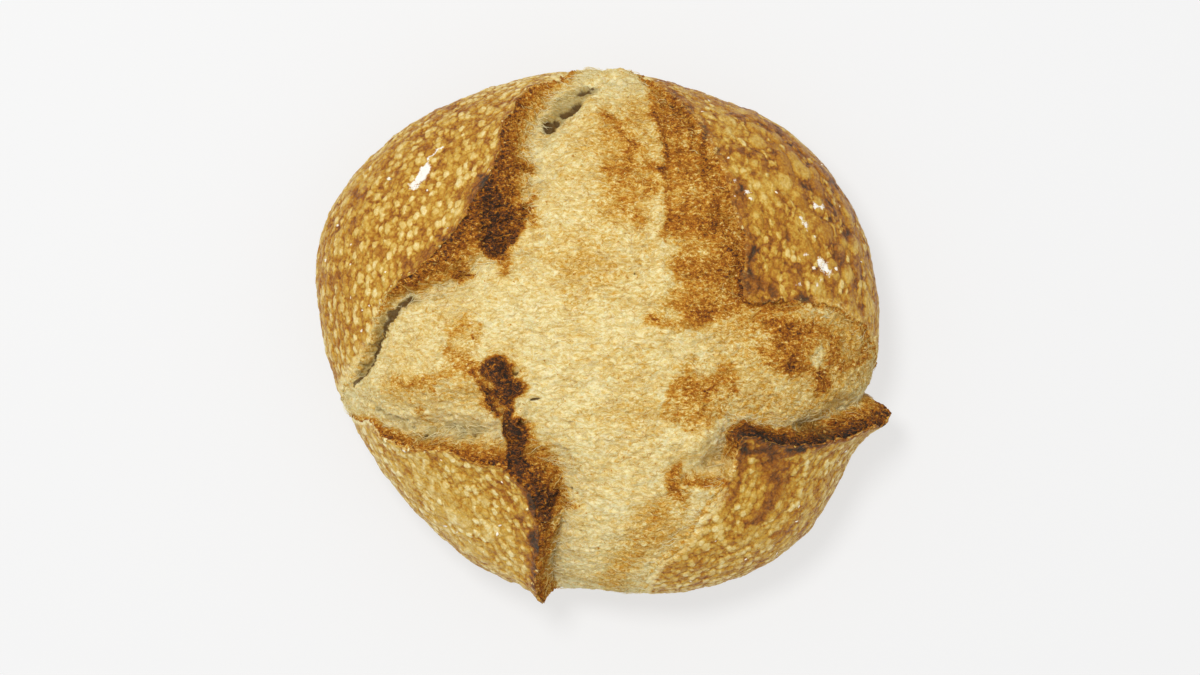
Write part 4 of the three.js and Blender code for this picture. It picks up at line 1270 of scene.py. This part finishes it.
class LOAF_OT_strands(bpy.types.Operator):
    """Lays gluten strands over the torn crumb in pale, straw and toasted sets"""
    bl_idname = "loaf.strands"
    bl_label = "Lay the strands"

    def execute(self, context):
        settings = context.scene.loaf_scraps
        crumb = bpy.data.objects["crumb_torn"].data
        for seed, (name, base, lift, thickness, spread, share) in enumerate(STRAND_SETS, 1):
            net = strand_tree(scrap_material(name, base, CRUMB_TONES, 0.6), crumb_cover)
            grown(crumb.copy(), name, net, {
                "Length": settings.strand_length, "Radius": settings.strand_radius * thickness,
                "Count": settings.strand_count * share, "Lift": lift * MM, "Spread": spread,
                "Tint": 0.06, "Seed": seed})
        net = strand_tree(scrap_material("strands_fringe", -0.12, CRUMB_TONES, 0.5), fringe_cover)
        grown(crumb.copy(), "strands_fringe", net, {
            "Length": 1.8 * settings.strand_length, "Radius": settings.strand_radius, "Seed": 9,
            "Count": settings.strand_count, "Lift": 1.4 * MM, "Spread": 0.5, "Tint": 0.08})
        return {"FINISHED"}


class LOAF_OT_flakes(bpy.types.Operator):
    """Breaks flakes along the torn edges and toasted grains on the browned crumb"""
    bl_idname = "loaf.flakes"
    bl_label = "Break the flakes"

    def execute(self, context):
        settings = context.scene.loaf_scraps
        flakes = scrap_material("crust_flake", -0.10, CRUST_TONES, 0.35)
        net = chip_tree("crust_flakes", flakes, scale_chip, on_torn_edges, 0.15, 0.9)
        grown(crust_source(), "crust_flakes", net,
              {"Size": settings.flake_size, "Count": FLAKE_DENSITY, "Tint": 0.14, "Seed": 5})
        # Pale, near-white flakes of skin; they also stand in as painted glints on the crust.
        skin = scrap_material("loose_skin_and_glints", 0.0, [(0.0, (250, 243, 226)), (1.0, (226, 190, 108))], 0.25)
        net = chip_tree("skin_flakes_and_glints", skin, scale_chip, on_pale_skin, 0.15, 0.9)
        grown(crust_source(), "skin_flakes_and_glints", net,
              {"Size": settings.flake_size, "Count": SKIN_AND_GLINT_DENSITY, "Tint": 0.1, "Seed": 8})
        toast = scrap_material("toasted_grain", 0.16, CRUMB_TONES, 0.7)
        net = chip_tree("toasted_grains", toast, ball, on_browned_crumb, 0.7, 0.8)
        grown(bpy.data.objects["crumb_torn"].data.copy(), "toasted_grains", net,
              {"Size": 0.36 * settings.flake_size, "Count": GRAIN_DENSITY, "Tint": 0.16, "Seed": 6})
        return {"FINISHED"}


class LOAF_OT_flour(bpy.types.Operator):
    """Dusts the crust with clumps of flour"""
    bl_idname = "loaf.flour"
    bl_label = "Dust with flour"

    def execute(self, context):
        settings = context.scene.loaf_scraps
        flour = scrap_material("flour_clump", 0.5, [(0.0, FLOUR_TONE), (1.0, FLOUR_TONE)], 0.6)
        net = chip_tree("flour_clumps", flour, ball, on_floured_skin, 0.6, 0.8)
        grown(crust_source(), "flour_clumps", net,
              {"Size": settings.flour_size, "Count": FLOUR_DENSITY, "Tint": 0.1, "Seed": 7})
        return {"FINISHED"}


# ---- stage ---------------------------------------------------------------------------------------
LENS = 100.0
SENSOR = 36.0
FRAME_WIDTH = 0.5009  # metres across the view at the loaf's widest level
CAMERA_X = -0.0013
CAMERA_Y = -0.0006
KEY_PLACE = (-0.22, 0.26, 1.25)
KEY_AIM = (0.0, 0.0, 0.05)
KEY_SIZE = 0.30


def aim(thing, at):
    thing.rotation_euler = (Vector(at) - thing.location).to_track_quat("-Z", "Y").to_euler()


def area_light(name, place, at, size, power):
    light = bpy.data.lights.new(name, "AREA")
    light.shape = "DISK"
    light.size = size
    light.energy = power
    holder = bpy.data.objects.new(name, light)
    holder.location = place
    bpy.context.scene.collection.objects.link(holder)
    aim(holder, at)


class LOAF_OT_stage(bpy.types.Operator):
    """Makes the pale floor, the soft light and the camera straight above"""
    bl_idname = "loaf.stage"
    bl_label = "Set the stage"

    def execute(self, context):
        settings = context.scene.loaf_stage
        half = settings.floor_size / 2
        mesh = bpy.data.meshes.new("floor")
        corners = [(-half, -half, 0), (half, -half, 0), (half, half, 0), (-half, half, 0)]
        mesh.from_pydata(corners, [], [(0, 1, 2, 3)])
        floor = bpy.data.objects.new("floor", mesh)
        context.scene.collection.objects.link(floor)
        material, net = new_material("pale_floor")
        finish_material(net, {
            "Base Color": (*settings.floor_colour, 1.0), "Roughness": 1.0, "Specular IOR Level": 0.0,
            "Emission Color": (1.0, 1.0, 1.0, 1.0), "Emission Strength": settings.floor_glow,
        })
        mesh.materials.append(material)
        world = bpy.data.worlds.new("soft_white")
        world.use_nodes = True
        background = world.node_tree.nodes["Background"]
        background.inputs["Color"].default_value = (1.0, 1.0, 1.0, 1.0)
        background.inputs["Strength"].default_value = settings.ambient
        context.scene.world = world
        area_light("key", KEY_PLACE, KEY_AIM, KEY_SIZE, settings.key_power)
        camera = bpy.data.cameras.new("camera")
        camera.lens = LENS
        camera.sensor_width = SENSOR
        camera.clip_end = 50.0
        holder = bpy.data.objects.new("camera", camera)
        distance = FRAME_WIDTH * LENS / SENSOR
        holder.location = (CAMERA_X, CAMERA_Y, WIDEST_LEVEL * MM + distance)
        context.scene.collection.objects.link(holder)
        context.scene.camera = holder
        context.scene.view_settings.view_transform = "Standard"
        return {"FINISHED"}


class LOAF_PT_panel(bpy.types.Panel):
    """Lists the loaf's pieces and settings"""
    bl_label = "Sourdough loaf"
    bl_idname = "LOAF_PT_panel"
    bl_space_type = "VIEW_3D"
    bl_region_type = "UI"
    bl_category = "Loaf"

    def draw(self, context):
        for settings in (context.scene.loaf_settings, context.scene.loaf_scraps, context.scene.loaf_stage):
            box = self.layout.box()
            for name in settings.__annotations__:
                box.prop(settings, name)
        for operator in OPERATORS:
            self.layout.operator(operator.bl_idname)


OPERATORS = (LOAF_OT_crust, LOAF_OT_crumb, LOAF_OT_heart, LOAF_OT_strands, LOAF_OT_flakes, LOAF_OT_flour,
             LOAF_OT_stage)
CLASSES = (LoafSettings, ScrapSettings, StageSettings, *OPERATORS, LOAF_PT_panel)


def register():
    for cls in CLASSES:
        bpy.utils.register_class(cls)
    bpy.types.Scene.loaf_settings = bpy.props.PointerProperty(type=LoafSettings)
    bpy.types.Scene.loaf_scraps = bpy.props.PointerProperty(type=ScrapSettings)
    bpy.types.Scene.loaf_stage = bpy.props.PointerProperty(type=StageSettings)


def unregister():
    del bpy.types.Scene.loaf_stage
    del bpy.types.Scene.loaf_scraps
    del bpy.types.Scene.loaf_settings
    for cls in reversed(CLASSES):
        bpy.utils.unregister_class(cls)


def main():
    register()
    bpy.ops.loaf.crust()
    bpy.ops.loaf.crumb()
    bpy.ops.loaf.heart()
    bpy.ops.loaf.strands()
    bpy.ops.loaf.flakes()
    bpy.ops.loaf.flour()
    bpy.ops.loaf.stage()


if __name__ == "__main__":
    main()
